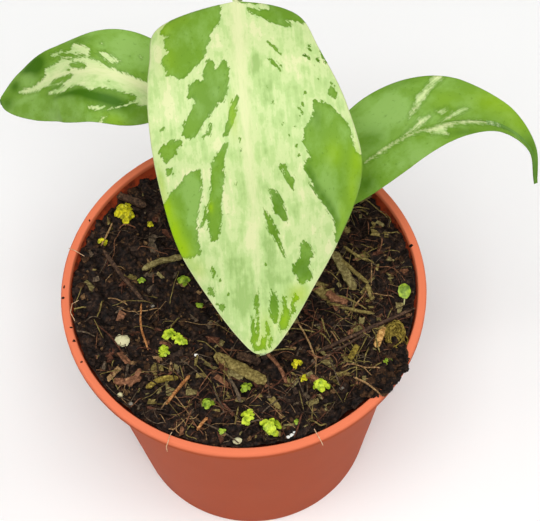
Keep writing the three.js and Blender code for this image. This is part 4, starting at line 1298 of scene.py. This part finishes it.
def leaf_material(name, greens, pales, roughness, relief):
    """Leaf skin, coloured from the blade's own attributes: crisp patches over soft washes and tints,
    some of them painted sheen, light and shade, with the low gloss of wax and of fine pores."""
    material = new_material(name, Roughness=roughness, Specular_IOR_Level=0.1, IOR=1.45)
    field, blur, tint_light_shade, cream, wash_and_sheen, place, veins = (
        add_node(material, "Attribute", {"attribute_name": attribute})
        for attribute in ("green_depth", "blur", "tint_light_shade", "cream", "wash_and_sheen", "leaf_place", "vein_place"))
    field, tint_light_shade, cream, wash_and_sheen = (source.outputs["Fac"] for source in (field, tint_light_shade, cream, wash_and_sheen))

    def streaks(source, down_rib, off_rib, detail):
        """Noise in streaks of a size in millimetres along the midrib and off it."""
        scaled = add_node(
            material, "VectorMath", {"operation": "MULTIPLY", 1: (1 / down_rib, 1 / off_rib, 1)},
            {0: source.outputs["Vector"]})
        streaked = add_node(
            material, "TexNoise", {"Scale": 1, "Detail": detail, "Roughness": 0.6},
            {"Vector": scaled.outputs["Vector"]})
        return streaked.outputs["Fac"]

    def stirred(measure, streak, least, most):
        """A measure shifted by streaks, from least to most."""
        limits = {"From Min": 0.3, "From Max": 0.7, "To Min": least, "To Max": most}
        shift = add_node(material, "MapRange", limits, {"Value": streak})
        total = add_node(
            material, "Math", {"operation": "ADD"}, {0: measure, 1: shift.outputs["Result"]})
        return total.outputs["Value"]

    def layered(ground, layers):
        """A ground colour under layers of others. As its measure goes from bare to full, each
        layer's share goes from none to its cover."""
        below = {}
        for measure, bare, full, cover, tone in layers:
            share = add_node(
                material, "MapRange", {"From Min": bare, "From Max": full, "To Max": cover},
                {"Value": measure})
            layer = add_node(
                material, "Mix", {"data_type": "RGBA", UNDER: colour(ground), OVER: colour(tone)},
                {SHARE: share.outputs["Result"], **below})
            below = {UNDER: layer.outputs[MIXED]}
        return layer.outputs[MIXED]

    # the patches' edges fray along the veins and are nibbled across them
    edge = stirred(field, streaks(veins, 0.7, 3.5, 3), -0.4, 0.4)
    edge = stirred(edge, streaks(place, 0.9, 0.9, 3), -0.3, 0.4)
    is_green = add_node(
        material, "MapRange", {"From Max": 0.08}, {"Value": edge, "From Min": blur.outputs["Fac"]})
    # green parts: mid green with greyer clouds and fine dark mottling, lime or deep where
    #     # tinted, and a deeper line just inside each patch. Some clouds are painted sheen, and some
    #     # tints are painted light and shade
    base_green, cloud_green, lime, deep_green = greens
    green = layered(base_green, [
        (stirred(wash_and_sheen, streaks(place, 5, 3.5, 5), -0.5, 0.5), -0.1, 0.6, 1, cloud_green),
        (tint_light_shade, 0, 1, 1, lime),
        (streaks(place, 1.2, 0.8, 3), 0.6, 0.74, 0.4, deep_green),
        (edge, 0.7, 0.1, 0.3, deep_green),
        (tint_light_shade, 0, -1, 1, deep_green),
    ])
    # pale parts: a mosaic of grey-green, mint, pale yellow-green and cream, drawn out a little
    #     # along the leaf, with grey-green flecks, lime where tinted, and the cream midrib. Where the
    #     # washes are painted sheen the mosaic turns paler, and some lime is painted light
    mint, yellow_green, grey_green, rib_cream, pale_lime = pales
    mosaic = stirred(wash_and_sheen, streaks(place, 4.5, 2.8, 6), -0.6, 0.6)
    mosaic = stirred(mosaic, streaks(place, 9, 0.8, 4), -0.25, 0.25)
    pale = layered(mint, [
        (mosaic, -0.15, 0.1, 1, yellow_green),
        (mosaic, -0.3, -0.8, 0.9, grey_green),
        (mosaic, 0.35, 0.6, 1, rib_cream),
        (streaks(place, 0.8, 0.6, 4), 0.6, 0.7, 0.45, grey_green),
        (tint_light_shade, 0, 1, 0.8, pale_lime),
        (stirred(cream, streaks(place, 4, 0.7, 4), -0.25, 0.25), 0.1, 0.9, 0.95, rib_cream),
    ])
    skin = add_node(
        material, "Mix", {"data_type": "RGBA"},
        {SHARE: is_green.outputs["Result"], UNDER: pale, OVER: green})
    pores = add_node(
        material, "TexNoise", {"Scale": PORES_PER_MM, "Detail": 2}, {"Vector": place.outputs["Vector"]})
    bump = add_node(
        material, "Bump", {"Strength": relief, "Distance": 0.1 * MM}, {"Height": pores.outputs["Fac"]})
    dress(material, Base_Color=skin.outputs[MIXED], Normal=bump.outputs["Normal"])
    return material


# a thin coat of wax: fresh, clear colours with a soft sheen
upper_skin = leaf_material(
    "variegated leaf, upper face, waxy", ("#719931", "#86AC52", "#94B912", "#3E690A"),
    ("#B5CF86", "#C7D897", "#98B76A", "#D8DDA6", "#ACC34B"), 0.4, 0.25)
# bare pores without wax: paler, greyer and matt
under_skin = leaf_material(
    "variegated leaf, underside, matt", ("#668F3C", "#75A04E", "#84A83C", "#55802C"),
    ("#BFD89A", "#CCDFA6", "#AECB88", "#DCE8B4", "#B4CE7C"), 0.55, 0.35)

for side, leaf in LEAVES.items():
    shape, facts = blade(leaf)
    blade_piece = put(shape, f"blade_{side}", [upper_skin, under_skin], sharp=SMOOTH)
    mesh = blade_piece.data
    down_rib, off_rib, vein, from_edge, thickness = facts.T
    to_tip = down_rib / down_rib.max()
    rib_band = numpy.exp(-(off_rib / (RIB_BAND - RIB_BAND_NARROWS * to_tip)) ** 2)
    rib_band *= numpy.clip(1.3 - 1.2 * to_tip, 0, 0.9)
    pale_margin = 0.6 * numpy.exp(-(from_edge / PALE_MARGIN) ** 2)
    # the tint and wash measures hold real tints and washes, and also painted light, shade and sheen
    measures = {
        "green_depth": painted(side, facts),
        "blur": numpy.full(len(facts), EDGE_BLUR[side]),
        "tint_light_shade": soft_ovals(facts, TINTS_LIGHT_AND_SHADE[side]),
        "wash_and_sheen": soft_ovals(facts, WASHES_AND_SHEEN[side]),
        "cream": numpy.clip(rib_band + pale_margin, 0, 1),
    }
    for name, values in measures.items():
        mesh.attributes.new(name, "FLOAT", "POINT").data.foreach_set("value", values)
    halves = numpy.sign(off_rib) * 5
    places = {
        "leaf_place": (down_rib, off_rib, 0 * halves),
        "vein_place": (vein, numpy.abs(off_rib), halves),
    }
    for name, columns in places.items():
        packed = numpy.stack(columns, axis=1).ravel()
        mesh.attributes.new(name, "FLOAT_VECTOR", "POINT").data.foreach_set("vector", packed)
    group = blade_piece.vertex_groups.new(name="thickness")
    for index, share in enumerate(thickness):
        group.add([index], float(share), "REPLACE")
    flesh = blade_piece.modifiers.new("leaf flesh", "SOLIDIFY")
    flesh.thickness = RIB_THICKNESS * MM
    flesh.offset = -1
    flesh.vertex_group = "thickness"
    flesh.material_offset = 1
    flesh.material_offset_rim = 0
    flesh.use_even_offset = False
    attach(blade_piece, "root")
    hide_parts(f"leaf_blade_{side}")
